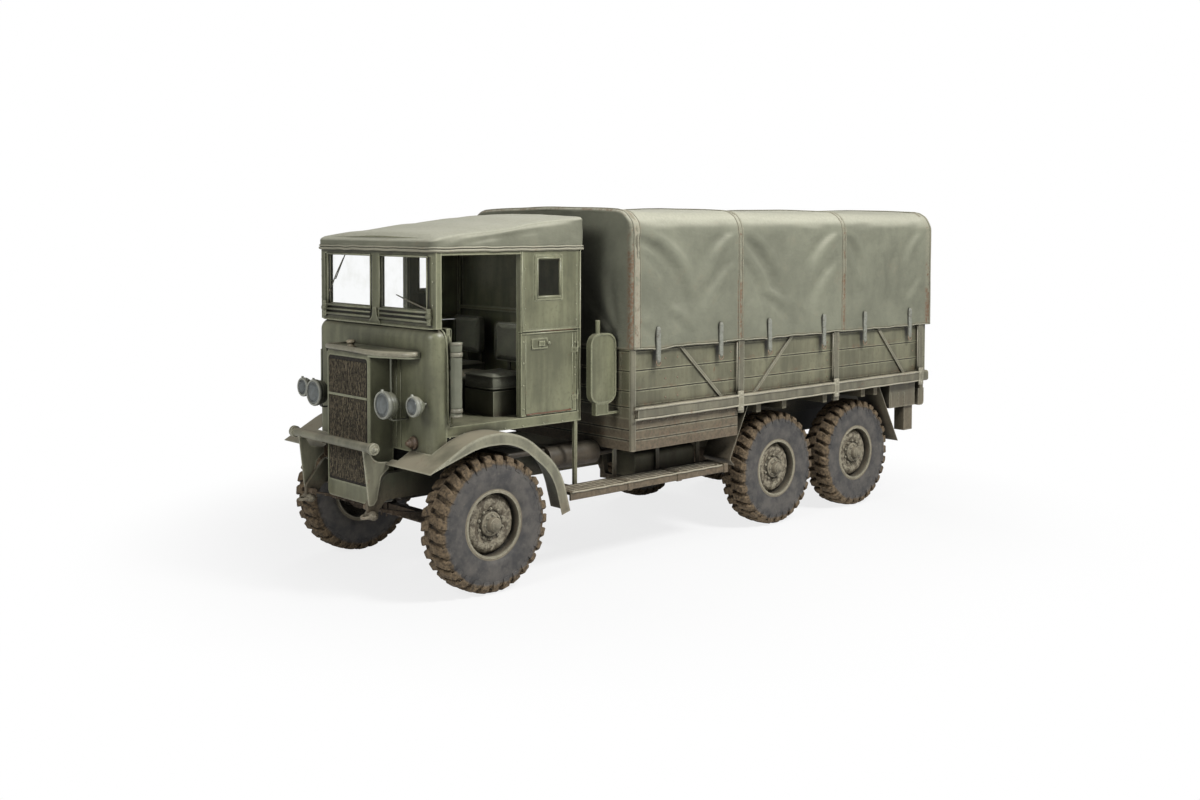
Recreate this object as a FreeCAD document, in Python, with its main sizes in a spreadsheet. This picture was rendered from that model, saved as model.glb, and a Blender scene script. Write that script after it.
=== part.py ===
import FreeCAD, Part
import math
import os
import re

import Sketcher
from FreeCAD import Placement, Rotation, Vector

# Six-wheeled military cargo truck with a canvas cab roof and a canvas tilt over a planked body.
# Millimetres. The front faces -Y, +X is the truck's left, Z is up from the ground.

doc = FreeCAD.newDocument("cargo_truck")
sheet = doc.addObject("Spreadsheet::Sheet", "Sizes")
aliases = set()


def size(name, amount):
    row = len(aliases) + 1
    sheet.set(f"A{row}", name)
    sheet.set(f"B{row}", str(amount))
    sheet.setAlias(f"B{row}", name)
    aliases.add(name)


def bound(text):
    def named(word):
        return "Sizes." + word[0] if word[0] in aliases else word[0]
    return re.sub(r"[a-z][a-z_]*", named, str(text))


def amount(text):
    result = sheet.evalExpression(bound(text))
    return float(getattr(result, "Value", result))


# ---- driving sizes -----------------------------------------------------------------------------
for name, number in {
    # wheels and axles
    "tyre_radius": 537, "tyre_half": 135, "tread_half": 106, "rim_half": 115, "rim_seat": 254,
    "rim_lip": 298, "rim_wall": 8, "hub_radius": 80, "hub_cap": 52, "hub_reach": 150, "spindle": 32,
    "wheelbase": 3440, "tyre_space": 166, "front_half_track": 927, "rear_half_track": 870,
    "front_axle": -2475, "king_half": 745, "king_pin": 14, "yoke_radius": 36, "yoke_drop": 97,
    "yoke_long": 190, "yoke_ear": 30, "arm_reach": 170, "tie_drop": 29, "tie_thick": 20,
    "tie_rod": 13, "tie_eye": 24, "tie_pin": 9, "drum_radius": 185, "drum_long": 95,
    "front_drum_radius": 160, "front_drum_long": 52,
    # frame
    "rail_half": 470, "rail_flange": 76, "rail_depth": 203, "rail_rise": 393, "rail_wall": 8,
    "rail_front": -3060, "rail_back": 68, "iron_thick": 30, "eye_front": -3205, "eye_drop": 250,
    "cross_radius": 38, "axle_tube": 58,
    # springs
    "beam_drop": 49, "leaf_thick": 12, "leaf_wide": 60, "spring_half": 730, "spring_rise": 120,
    "bogie_leaf_wide": 70, "trunnion_rise": 183, "bogie_spring_x": 525, "bolt_radius": 8,
    # bumper
    "bumper": -3265, "bumper_rise": 225, "bumper_radius": 35, "bumper_half": 630,
    "bumper_nose": 28, "collar_radius": 46, "collar_long": 40, "plate_thick": 10,
    # radiator and cowl
    "radiator_front": -3125, "radiator_half": 312, "radiator_drop": 270, "radiator_tall": 1202,
    "grille_half": 284, "grille_foot": 140, "grille_rim": 62, "bar_drop": 372, "bar_thick": 18,
    "slat_pitch": 17, "slat_wide": 8, "slat_proud": 5, "core_deep": 110, "shell_round": 14, "sheet_wall": 6,
    "cab_half": 830,
    "cowl_front": -2905, "cowl_rear": -2765, "cowl_clear": 16, "cowl_tall": 755, "cowl_corner": 95,
    "cowl_brow": 84, "brow_half": 680, "brow_thick": 52, "brow_cover": 12, "brow_round": 22,
    "dash_rear": -2690,
    # cab
    "floor_rise": 205, "sill_deep": 80, "sill_wide": 50, "cab_rear": -1395, "screen_front": -2860,
    "screen_thick": 50, "screen_tall": 590, "screen_post": 60, "screen_mullion": 50,
    "pane_in": 75, "pane_out": 705, "pane_foot": 140, "pane_head": 50, "glass_thick": 5,
    "quarter_front": -2035, "door_tall": 677, "door_gap": 8, "door_thick": 24, "latch_long": 165,
    "hinge_line": -1440, "hinge_radius": 7, "hinge_stand": 9, "hinge_back": 3, "post_wide": 30,
    "swing_gap": 6, "pane_front": -1869, "pane_rear": -1625, "light_foot": 278, "light_head": 65,
    "light_rim": 24, "roof_front": -2895, "roof_rear": -1350, "roof_hem": 93, "roof_slope": 185,
    "roof_crown": 25, "skin": 5, "roof_corner": 40, "bow_thick": 15,
    # rolled curtains, seats and controls
    "roll_radius": 50, "roll_out": 48, "seat_rise": 205, "cushion_thick": 140, "cushion_long": 400,
    "seat_wide": 400, "back_foot": 200, "back_tall": 340, "back_thick": 80, "near_seat": -2185,
    "far_seat": -1945, "seat_inner": 250, "column_tilt": 30, "column_radius": 22,
    "column_long": 700, "helm_radius": 220, "helm_rim": 13, "helm_side": -450,
    "helm_foot": -2690, "helm_drop": 30, "column_lift": 14,
    # lamps
    "head_lamp_x": 507, "head_lamp_radius": 105, "head_lamp_long": 125, "side_lamp_x": 803,
    "side_lamp_radius": 76, "side_lamp_long": 88, "lamp_drop": 395, "lamp_lip": 34,
    # wings, boards and tank
    "wing_inner": 560, "wing_tip": -3090, "wing_tip_rise": 75, "wing_rise": -2650,
    "wing_fall": -2245, "wing_clear": 171, "wing_knee_clear": 118, "wing_tail_clear": 218,
    "wing_lip": 90, "board_inner": 800, "board_in": 24, "board_drop": 250, "board_thick": 25,
    "board_lip": 70, "board_tread": 3, "board_front_gap": 25, "board_rear_gap": 233,
    "tank_long": 750, "tank_gap": 403, "tank_drop": 80, "tank_deep": 330, "tank_inner": 500,
    "tank_outer": 790, "tank_round": 120, "side_tank_round": 100,
    # cargo body
    "cab_gap": 332, "tail_reach": 576, "body_half": 1070, "floor_clear": 176, "floor_thick": 35,
    "bearer_deep": 100, "bearer_wide": 60, "plank_thick": 30, "plank_gap": 4, "plank_wide": 168,
    "top_plank": 77, "head_thick": 28, "side_tall": 610, "post_proud": 30, "post_width": 80,
    "rub_deep": 110, "rub_proud": 60, "cap_thick": 25, "brace_thick": 16, "skirt_deep": 260,
    "skirt_board": 178, "skirt_gap": 153, "skirt_thick": 24, "batten_thick": 8, "gate_thick": 30,
    "gate_drop": 28,
    # tilt
    "tilt_gap": 3, "tilt_skin": 4, "tilt_lap": 70, "tilt_tall": 1111, "tilt_crown": 25,
    "tilt_corner": 200, "hoop_thick": 30, "hoop_wide": 40, "strap_drop": 125, "strap_reach": 195,
    "strap_wide": 42, "strap_thick": 20,
    # clearances
    "run_gap": 0.3, "rest_gap": 0.3, "pivot_gap": 0.5,
}.items():
    size(name, number)

for name, formula in {
    # along the truck
    "bogie_gap": "=2 * tyre_radius + tyre_space",
    "mid_axle": "=front_axle + wheelbase",
    "rear_axle": "=mid_axle + bogie_gap",
    "bogie_mid": "=mid_axle + bogie_gap / 2",
    "wing_knee": "=front_axle + tyre_radius + wing_knee_clear",
    "wing_tail": "=front_axle + tyre_radius + wing_tail_clear",
    "board_front": "=wing_tail + board_front_gap",
    "board_rear": "=mid_axle - tyre_radius - board_rear_gap",
    "tank_rear": "=mid_axle - tyre_radius - tank_gap",
    "tank_front": "=tank_rear - tank_long",
    "body_front": "=cab_rear + cab_gap",
    "body_rear": "=rear_axle + tyre_radius + tail_reach",
    "rail_rear": "=body_rear - rail_back",
    "gate_rear": "=body_rear - 6",
    "skirt_rear": "=mid_axle - tyre_radius - skirt_gap",
    "post_front": "=skirt_rear + 5",
    "post_middle": "=bogie_mid + 105",
    "post_rear": "=body_rear - 180",
    # across it
    "wing_outer": "=body_half",
    "board_outer": "=body_half - board_in",
    "tilt_half": "=body_half + post_proud + tilt_gap",
    # heights of the frame and running gear
    "axle_height": "=tyre_radius",
    "yoke_low": "=axle_height - yoke_drop",
    "yoke_high": "=yoke_low + yoke_long",
    "tie_low": "=yoke_low - tie_drop",
    "beam_top": "=axle_height - beam_drop",
    "trunnion_height": "=axle_height + trunnion_rise",
    "rail_top": "=axle_height + rail_rise",
    "rail_low": "=rail_top - rail_depth",
    "eye_height": "=rail_top - eye_drop",
    "bumper_height": "=rail_top + bumper_rise",
    "board_top": "=rail_top - board_drop",
    "tank_high": "=rail_top - tank_drop",
    "tank_low": "=tank_high - tank_deep",
    "wing_tip_high": "=rail_top + wing_tip_rise",
    "wing_high": "=axle_height + tyre_radius + wing_clear",
    "wing_slope": "=(wing_high - wing_tip_high) / (wing_rise - wing_tip)",
    # heights of the cab
    "radiator_low": "=rail_top - radiator_drop",
    "radiator_high": "=radiator_low + radiator_tall",
    "brow_low": "=radiator_high + brow_cover - brow_thick",
    "grille_low": "=radiator_low + grille_foot",
    "grille_high": "=radiator_high - grille_rim",
    "grille_bar": "=radiator_high - bar_drop",
    "lamp_height": "=radiator_high - lamp_drop",
    "cowl_low": "=axle_height + tyre_radius + cowl_clear",
    "floor_high": "=cowl_low + floor_rise",
    "floor_low": "=floor_high - sill_deep",
    "cowl_high": "=floor_high + cowl_tall",
    "screen_high": "=cowl_high + screen_tall",
    "pane_low": "=cowl_high + pane_foot",
    "pane_high": "=screen_high - pane_head",
    "door_high": "=floor_high + door_tall",
    "quarter_low": "=door_high + door_gap",
    "light_low": "=quarter_low + light_foot",
    "light_high": "=screen_high - light_head",
    "roof_low": "=screen_high + 2",
    "roof_edge_front": "=roof_low + roof_hem",
    "roof_edge_rear": "=roof_edge_front + roof_slope",
    "seat_high": "=floor_high + seat_rise",
    "back_low": "=seat_high + back_foot",
    "back_high": "=back_low + back_tall",
    # heights of the cargo body and tilt
    "floor_top": "=axle_height + tyre_radius + floor_clear",
    "bed_low": "=floor_top - floor_thick",
    "bearer_low": "=bed_low - bearer_deep",
    "rub_low": "=floor_top - 50",
    "rub_high": "=rub_low + rub_deep",
    "skirt_low": "=rub_low - skirt_deep",
    "skirt_split": "=skirt_low + skirt_board",
    "side_high": "=floor_top + side_tall",
    "plank_low": "=bed_low - plank_gap / 2",
    "gate_high": "=side_high - 10",
    "gate_hinge": "=floor_top - gate_drop",
    "tilt_low": "=side_high - tilt_lap",
    "tilt_high": "=side_high + tilt_tall",
    "strap_low": "=tilt_low - strap_drop",
    "strap_high": "=tilt_low + strap_reach",
}.items():
    size(name, formula)
doc.recompute()


# ---- ways of making a form ---------------------------------------------------------------------
def bind(item, **places):
    for place, text in places.items():
        item.setExpression(place.replace("_", "."), bound(text))
    return item


def put(item, x=0, y=0, z=0):
    for axis, text in zip("xyz", (x, y, z)):
        item.setExpression(f"Placement.Base.{axis}", bound(text))
    return item


def box(name, x, y, z, long_x, long_y, long_z):
    item = doc.addObject("Part::Box", name)
    bind(item, Length=long_x, Width=long_y, Height=long_z)
    return put(item, x, y, z)


TURNS = {"X": Rotation(Vector(0, 1, 0), 90), "Y": Rotation(Vector(1, 0, 0), -90), "Z": Rotation()}


def rod(name, axis, x, y, z, radius, length):
    item = doc.addObject("Part::Cylinder", name)
    bind(item, Radius=radius, Height=length)
    item.Placement = Placement(Vector(), TURNS[axis])
    return put(item, x, y, z)


def outline(sketch, corners):
    """Closed loop of lines through (across, up, radius) corners, with an arc where a radius is given."""
    spots = [[amount(text) for text in corner] + [0.0] * (3 - len(corner)) for corner in corners]
    count = len(spots)
    points = [Vector(spot[0], spot[1], 0) for spot in spots]
    starts, ends, centres = [], [], []
    for at, point in enumerate(points):
        back = (points[at - 1] - point).normalize()
        ahead = (points[(at + 1) % count] - point).normalize()
        radius = spots[at][2]
        if not radius:
            starts.append(point)
            ends.append(point)
            centres.append(None)
            continue
        half = back.getAngle(ahead) / 2
        starts.append(point + back * (radius / math.tan(half)))
        ends.append(point + ahead * (radius / math.tan(half)))
        centres.append(point + (back + ahead).normalize() * (radius / math.sin(half)))
    lines = [sketch.addGeometry(Part.LineSegment(ends[at], starts[(at + 1) % count]), False)
             for at in range(count)]
    for at, corner in enumerate(corners):
        mark = sketch.addGeometry(Part.Point(points[at]), True)
        for kind, text in zip(("DistanceX", "DistanceY"), corner):
            rule = sketch.addConstraint(Sketcher.Constraint(kind, -1, 1, mark, 1, amount(text)))
            sketch.setExpression(f"Constraints[{rule}]", bound(text))
        before, after, centre = lines[at - 1], lines[at], centres[at]
        if centre is None:
            sketch.addConstraint(Sketcher.Constraint("Coincident", before, 2, mark, 1))
            sketch.addConstraint(Sketcher.Constraint("Coincident", after, 1, mark, 1))
            continue
        first, last = starts[at] - centre, ends[at] - centre
        leftward = first.cross(last).z > 0
        angles = [math.atan2(spoke.y, spoke.x) for spoke in ((first, last) if leftward else (last, first))]
        if angles[1] < angles[0]:
            angles[1] += 2 * math.pi
        circle = Part.Circle(centre, Vector(0, 0, 1), spots[at][2])
        arc = sketch.addGeometry(Part.ArcOfCircle(circle, *angles), False)
        sketch.addConstraint(Sketcher.Constraint("Tangent", before, 2, arc, 1 if leftward else 2))
        sketch.addConstraint(Sketcher.Constraint("Tangent", after, 1, arc, 2 if leftward else 1))
        rule = sketch.addConstraint(Sketcher.Constraint("Radius", arc, spots[at][2]))
        sketch.setExpression(f"Constraints[{rule}]", bound(corner[2]))
        sketch.addConstraint(Sketcher.Constraint("PointOnObject", mark, 1, before))
        sketch.addConstraint(Sketcher.Constraint("PointOnObject", mark, 1, after))


def sketched(body, name, plane, level, loops):
    sketch = body.newObject("Sketcher::SketchObject", name)
    origin = next(part for part in body.Origin.OriginFeatures if part.Role == plane + "_Plane")
    sketch.AttachmentSupport = [(origin, "")]
    sketch.MapMode = "FlatFace"
    sketch.setExpression("AttachmentOffset.Base.z", bound(f"-({level})" if plane == "XZ" else level))
    for loop in loops:
        outline(sketch, loop)
    return sketch


def slab(name, plane, level, depth, *loops):
    """A profile in the XY, XZ or YZ plane at a level, padded along the plane's own +Z, +Y or +X."""
    body = doc.addObject("PartDesign::Body", name)
    pad = body.newObject("PartDesign::Pad", name + "_pad")
    pad.Profile = sketched(body, name + "_profile", plane, level, loops)
    pad.Reversed = plane == "XZ"
    pad.setExpression("Length", bound(depth))
    body.Tip = pad
    return body


def spun(name, axis, *loops):
    """A profile in the XY plane turned once round its own X or Y axis."""
    body = doc.addObject("PartDesign::Body", name)
    turn = body.newObject("PartDesign::Revolution", name + "_turn")
    turn.Profile = sketched(body, name + "_profile", "XY", "0", loops)
    turn.ReferenceAxis = (turn.Profile[0], [{"X": "H_Axis", "Y": "V_Axis"}[axis]])
    turn.Angle = 360
    body.Tip = turn
    return body


def rounded(body, radius, chosen):
    """Rounds the edges of the body's tip that pass the given test."""
    doc.recompute()
    tip = body.Tip
    names = [f"Edge{number}" for number, edge in enumerate(tip.Shape.Edges, 1) if chosen(edge)]
    fillet = body.newObject("PartDesign::Fillet", body.Name + "_round")
    fillet.Base = (tip, names)
    fillet.setExpression("Radius", bound(radius))
    body.Tip = fillet
    return body


def fuse(name, *pieces):
    item = doc.addObject("Part::MultiFuse", name)
    item.Shapes = list(pieces)
    item.Refine = True
    return item


def cut(name, base, *tools):
    item = doc.addObject("Part::Cut", name)
    item.Base = base
    item.Tool = tools[0] if len(tools) == 1 else fuse(name + "_tools", *tools)
    return item


def group(name, *pieces):
    item = doc.addObject("Part::Compound", name)
    item.Links = list(pieces)
    return item


def opposite(item):
    mirrored = doc.addObject("Part::Mirroring", item.Name + "_right")
    mirrored.Source = item
    mirrored.Normal = Vector(1, 0, 0)
    return mirrored


def pair(name, item):
    return group(name, item, opposite(item))


def across(half):
    """A loop symmetrical about X = 0 from its corners on the +X side, bottom to top."""
    return half + [(f"-({corner[0]})",) + tuple(corner[1:]) for corner in reversed(half)]


def band(line, thick, side=1):
    """A loop of even thickness along an open line of corners, to its left (1) or right (-1)."""
    points = [Vector(amount(corner[0]), amount(corner[1]), 0) for corner in line]
    ways = [(after - before).normalize() for before, after in zip(points, points[1:])]
    normals = [Vector(-way.y, way.x, 0) * side for way in ways]
    far = []
    for at, corner in enumerate(line):
        first, last = normals[max(at - 1, 0)], normals[min(at, len(normals) - 1)]
        shift = (first + last) * (1 / (1 + first.dot(last)))
        spot = [f"({corner[0]}) + {shift.x:.9f} * ({thick})", f"({corner[1]}) + {shift.y:.9f} * ({thick})"]
        if len(corner) > 2:
            inward = side * ways[at - 1].cross(ways[at]).z > 0
            spot.append(f"({corner[2]}) {'-' if inward else '+'} ({thick})")
        far.append(tuple(spot))
    return line + far[::-1]


def rectangle(left, low, right, high):
    return [(left, low), (right, low), (right, high), (left, high)]


# ---- frame -------------------------------------------------------------------------------------
rail_line = [("rail_half - rail_flange", "rail_low"), ("rail_half", "rail_low"),
             ("rail_half", "rail_top"), ("rail_half - rail_flange", "rail_top")]
left_rail = slab("rail", "XZ", "rail_front", "rail_rear - rail_front", band(rail_line, "rail_wall"))
dumb_iron = slab("dumb_iron", "YZ", "rail_half - iron_thick", "iron_thick", [
    ("rail_front + 60", "rail_low"), ("rail_front + 60", "rail_top"),
    ("rail_front - 15", "rail_top", "60"), ("eye_front - 40", "eye_height + 45", "40"),
    ("eye_front - 40", "eye_height - 40", "38"), ("eye_front + 45", "eye_height - 40", "30"),
    ("rail_front - 20", "rail_low", "60")])
cross_pieces = []
for label, y, height in (("radiator", "rail_front + 200", "rail_low + 73"),
                         ("gearbox", "front_axle + 1225", "rail_top - 60"),
                         ("centre", "front_axle + 2025", "rail_top - 60"),
                         ("bogie_front", "mid_axle - 565", "rail_top - 60"),
                         ("bogie", "bogie_mid", "rail_top - 60"),
                         ("bogie_rear", "rear_axle + 295", "rail_top - 60")):
    cross_pieces.append(rod(label + "_cross", "X", "rail_wall - rail_half", y, height,
                            "cross_radius", "2 * (rail_half - rail_wall)"))
tail_channel = slab("tail_channel", "YZ", "rail_wall - rail_half", "2 * (rail_half - rail_wall)",
                    band([("rail_rear", "rail_top - rail_wall"), ("rail_rear - 60", "rail_top - rail_wall"),
                          ("rail_rear - 60", "rail_low + rail_wall"), ("rail_rear", "rail_low + rail_wall")],
                         "rail_wall"))
fuse("chassis_frame", left_rail, opposite(left_rail), dumb_iron, opposite(dumb_iron),
     tail_channel, *cross_pieces)

# ---- front bumper ------------------------------------------------------------------------------
collar_in = "bumper_half - bumper_nose - collar_long"
bar = spun("bumper_bar", "X", [
    ("-bumper_half", "0"), ("bumper_half", "0"), ("bumper_half", "10"),
    ("bumper_half - bumper_nose", "bumper_radius - 9"), ("bumper_half - bumper_nose", "collar_radius", "6"),
    (collar_in, "collar_radius", "6"), (collar_in, "bumper_radius"),
    (f"-({collar_in})", "bumper_radius"), (f"-({collar_in})", "collar_radius", "6"),
    ("bumper_nose - bumper_half", "collar_radius", "6"), ("bumper_nose - bumper_half", "bumper_radius - 9"),
    ("-bumper_half", "10")])
put(bar, "0", "bumper", "bumper_height")
bumper_plate = slab("bumper_plate", "YZ", "rail_half", "plate_thick", [
    ("bumper - 30", "bumper_height + 15", "12"), ("bumper + 28", "bumper_height + 15", "12"),
    ("bumper + 55", "wing_tip_high + 30", "110"), ("wing_tip + 30", "wing_tip_high + 30 * wing_slope"),
    ("wing_tip + 30", "wing_tip_high - 35"), ("eye_front + 75", "wing_tip_high - 90", "60"),
    ("eye_front + 40", "eye_height + 60", "30"), ("eye_front + 10", "eye_height + 20", "20"),
    ("eye_front - 35", "eye_height + 20", "12")])
fuse("front_bumper", bar, bumper_plate, opposite(bumper_plate))

# ---- radiator ----------------------------------------------------------------------------------
def radiator_loop(inset):
    return across([(f"radiator_half - {inset}", f"radiator_low + {inset}", f"45 - {inset}"),
                   (f"radiator_half - {inset}", f"radiator_high - {inset}", f"60 - {inset}")])


shell_block = slab("shell_block", "XZ", "radiator_front", "cowl_front - radiator_front", radiator_loop("0"))
shell_hollow = slab("shell_hollow", "XZ", "radiator_front + sheet_wall", "cowl_front - radiator_front",
                    radiator_loop("sheet_wall"))
shell_face = amount("radiator_front")
rounded(shell_block, "shell_round", lambda edge: edge.BoundBox.YMax < shell_face + 1)
rounded(shell_hollow, "shell_round - sheet_wall",
        lambda edge: edge.BoundBox.YMax < shell_face + amount("sheet_wall") + 1)
grille_hole = slab("grille_hole", "XZ", "radiator_front - 1", "sheet_wall + 2",
                   across([("grille_half", "grille_low", "20"), ("grille_half", "grille_high", "30")]))
grille_bar = box("grille_bar", "-grille_half - 2", "radiator_front - 6", "grille_bar - bar_thick / 2",
                 "2 * grille_half + 4", "sheet_wall + 5", "bar_thick")
fuse("radiator_shell", cut("open_shell", shell_block, shell_hollow, grille_hole), grille_bar)

core_block = slab("core_block", "XZ", "radiator_front + sheet_wall", "core_deep",
                  radiator_loop("shell_round"))
slat_count = int(amount("(2 * grille_half - 2 * slat_wide) / slat_pitch"))
slats = []
for run, low, high in (("low", "grille_low + 20", "grille_bar - bar_thick / 2 - rest_gap"),
                       ("high", "grille_bar + bar_thick / 2 + rest_gap", "grille_high - 30")):
    for number in range(slat_count):
        slats.append(box(f"slat_{run}_{number}",
                         f"({number} - {(slat_count - 1) / 2}) * slat_pitch - slat_wide / 2",
                         "radiator_front + sheet_wall - slat_proud", low, "slat_wide", "slat_proud + 1",
                         f"{high} - ({low})"))
fuse("radiator_core", core_block, *slats)

# ---- cowl, brow over the radiator, windscreen --------------------------------------------------
def cowl_block(name, wall, rear, low):
    loop = [(f"{wall} - cab_half", rear), (f"{wall} - cab_half", f"cowl_front + {wall}",
                                           f"cowl_corner - {wall}"),
            (f"cab_half - {wall}", f"cowl_front + {wall}", f"cowl_corner - {wall}"),
            (f"cab_half - {wall}", rear)]
    body = slab(name, "XY", low, f"cowl_high - {wall} - ({low})", loop)
    top = amount("cowl_high - " + wall)
    back = amount(rear)
    return rounded(body, f"cowl_brow - {wall}",
                   lambda edge: edge.BoundBox.ZMin > top - 1 and edge.BoundBox.YMin < back - 1)


cowl_shell = cut("cowl_shell", cowl_block("cowl_outer", "0", "cowl_rear", "cowl_low"),
                 cowl_block("cowl_inner", "sheet_wall", "cowl_rear + 5", "cowl_low - 5"))
dash = slab("dash", "YZ", "40 - cab_half", "2 * (cab_half - 40)",
            band([("cowl_rear", "cowl_high"), ("dash_rear", "cowl_high", "20"),
                  ("dash_rear", "cowl_high - 190")],
                 "sheet_wall", -1))
door_pillar = box("door_pillar", "cab_half - 40", "cowl_rear", "floor_high", "40", "30",
                  "cowl_high - floor_high")
fuse("cab_cowl", cowl_shell, dash, door_pillar, opposite(door_pillar))

brow_plate = slab("brow_plate", "XY", "brow_low", "brow_thick", [
    ("-radiator_half - 26", "cowl_front"), ("-radiator_half - 26", "radiator_front - 14", "60"),
    ("radiator_half + 60", "radiator_front - 14", "160"), ("brow_half", "cowl_front - 100", "70"),
    ("brow_half", "cowl_front")])
brow_top = amount("radiator_high + brow_cover")
rounded(brow_plate, "brow_round", lambda edge: edge.BoundBox.ZMin > brow_top - 1
        and edge.BoundBox.YMin < amount("cowl_front") - 1)
shell_room = box("shell_room", "-radiator_half - rest_gap", "radiator_front - 30", "brow_low - 10",
                 "2 * (radiator_half + rest_gap)", "cowl_front - radiator_front + 40",
                 "radiator_high - brow_low + 10")
filler = spun("filler", "Y", [("0", "0"), ("30", "0"), ("30", "8"), ("14", "14"), ("14", "22"),
                              ("27", "30", "10"),
                              ("27", "62", "22"), ("0", "62")])
filler.Placement = Placement(Vector(), Rotation(Vector(1, 0, 0), 90))
put(filler, "0", "radiator_front + 34", "radiator_high + brow_cover - 1")
fuse("bonnet_brow", cut("brow_round_shell", brow_plate, shell_room), filler)

screen_ring = slab("screen_ring", "XZ", "screen_front", "screen_thick",
                   rectangle("-cab_half", "cowl_high", "cab_half", "screen_high"),
                   rectangle("screen_mullion", "cowl_high + 50", "cab_half - screen_post",
                             "screen_high - 40"),
                   rectangle("screen_post - cab_half", "cowl_high + 50", "-screen_mullion",
                             "screen_high - 40"))
sashes = slab("sashes", "XZ", "screen_front + 12", "screen_thick - 24",
              rectangle("5 - cab_half", "cowl_high + 5", "cab_half - 5", "screen_high - 5"),
              rectangle("pane_in", "pane_low", "pane_out", "pane_high"),
              rectangle("-pane_out", "pane_low", "-pane_in", "pane_high"))
post_foot = slab("post_foot", "XZ", "screen_front - 14", "20", across([
    ("88", "cowl_high"), ("76", "cowl_high + 24", "16"), ("34", "cowl_high + 60", "40"),
    ("26", "cowl_high + 130")]))
fuse("windscreen_frame", screen_ring, sashes, post_foot)
pane = box("pane", "pane_in", "screen_front + screen_thick / 2 - glass_thick / 2", "pane_low",
           "pane_out - pane_in", "glass_thick", "pane_high - pane_low")
pair("windscreen_glass", pane)

# ---- cab floor ---------------------------------------------------------------------------------
sill_ring = slab("sill_ring", "XY", "floor_low", "sill_deep",
                 rectangle("-cab_half", "cowl_rear", "cab_half", "cab_rear"),
                 rectangle("sill_wide - cab_half", "cowl_rear + sill_wide", "cab_half - sill_wide",
                           "cab_rear - sill_wide"))
floor_sheet = box("floor_sheet", "10 - cab_half", "cowl_rear + 10", "floor_high - sheet_wall",
                  "2 * cab_half - 20", "cab_rear - cowl_rear - 20", "sheet_wall")
toe_sheet = box("toe_sheet", "sheet_wall + rest_gap - cab_half", "cowl_front + cowl_corner",
                "floor_high - sheet_wall",
                "2 * (cab_half - sheet_wall - rest_gap)", "cowl_rear - cowl_front - cowl_corner + 20",
                "sheet_wall")
stay = box("stay", "board_inner - 5", "cab_rear - 65", "board_top", "30", "30", "floor_low - board_top")
fuse("cab_floor", sill_ring, floor_sheet, toe_sheet, stay, opposite(stay))

# ---- rear of the cab: quarter panels and back wall in one --------------------------------------
back_wall = slab("back_wall", "XZ", "cab_rear - 10", "10",
                 across([("cab_half", "floor_high"), ("cab_half", "roof_edge_rear - 45", "40")]))
quarter = slab("quarter", "YZ", "cab_half - sheet_wall", "sheet_wall",
               rectangle("quarter_front", "quarter_low", "cab_rear - 5", "screen_high"),
               rectangle("pane_front", "light_low", "pane_rear", "light_high"))
light_ring = slab("light_ring", "YZ", "cab_half - sheet_wall", "sheet_wall + 8",
                  rectangle("pane_front - light_rim", "light_low - light_rim", "pane_rear + light_rim",
                            "light_high + light_rim"),
                  rectangle("pane_front", "light_low", "pane_rear", "light_high"))
post_inner = "cab_half - door_thick - swing_gap - post_wide"
front_post = box("front_post", post_inner, "quarter_front", "floor_high", "post_wide", "post_wide",
                 "screen_high - floor_high")
post_top = box("post_top", post_inner, "quarter_front", "quarter_low", "cab_half - 3 - (" + post_inner + ")",
               "post_wide", "screen_high - quarter_low")
waist = box("waist", "cab_half - 40", "quarter_front", "quarter_low", "37", "cab_rear - 5 - quarter_front",
            "20")
rear_post = box("rear_post", "cab_half - 36", "hinge_line + 2", "floor_high", "36",
                "cab_rear - hinge_line - 7", "screen_high - floor_high")
side_pieces = [quarter, light_ring, front_post, post_top, waist, rear_post]
for label, low in (("low", "floor_high + 100"), ("high", "door_high - 180")):
    barrel = rod(f"body_hinge_{label}", "Z", "cab_half + hinge_stand", "hinge_line",
                 f"{low} + 40 + pivot_gap",
                 "hinge_radius", "40")
    leaf = box(f"body_leaf_{label}", "cab_half - 2", "hinge_line + hinge_back", f"{low} + 40 + pivot_gap",
               "hinge_stand - 1",
               "35", "40")
    side_pieces += [barrel, leaf]
side_frame = fuse("side_frame", *side_pieces)
back_rail = box("back_rail", "20 - cab_half", "cab_rear - 32", "cowl_high + 25", "2 * cab_half - 40", "27",
                "30")
fuse("cab_rear_shell", back_wall, back_rail, side_frame, opposite(side_frame))


def cab_door(name):
    panel = slab(name + "_panel", "YZ", "cab_half - door_thick", "door_thick",
                 rectangle("quarter_front + 2", "floor_high + 8", "hinge_line - 5", "door_high"))
    latch = slab(name + "_latch", "YZ", "cab_half - 2", "14",
                 [("quarter_front + 105", "door_high - 130", "12"),
                  ("quarter_front + 105 + latch_long", "door_high - 130", "12"),
                  ("quarter_front + 105 + latch_long", "door_high - 45", "12"),
                  ("quarter_front + 105", "door_high - 45", "12")])
    pieces = [panel, latch]
    for label, low in (("low", "floor_high + 100"), ("high", "door_high - 180")):
        pieces.append(rod(f"{name}_barrel_{label}", "Z", "cab_half + hinge_stand", "hinge_line", low,
                          "hinge_radius", "40"))
        pieces.append(box(f"{name}_leaf_{label}", "cab_half - 2", "hinge_line - 60", low, "hinge_stand - 1",
                          "60 - hinge_back", "40"))
    return pieces


fuse("cab_door_left", *cab_door("near_door"))
right_door = fuse("far_door_pattern", *cab_door("far_door"))
mirrored_door = opposite(right_door)
group("cab_door_right", mirrored_door)

# ---- canvas cab roof and what it lies on -------------------------------------------------------
def roof_height(y):
    return ("roof_edge_front + (roof_edge_rear - roof_edge_front) * "
            f"({y} - roof_front) / (roof_rear - roof_front)")


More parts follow.
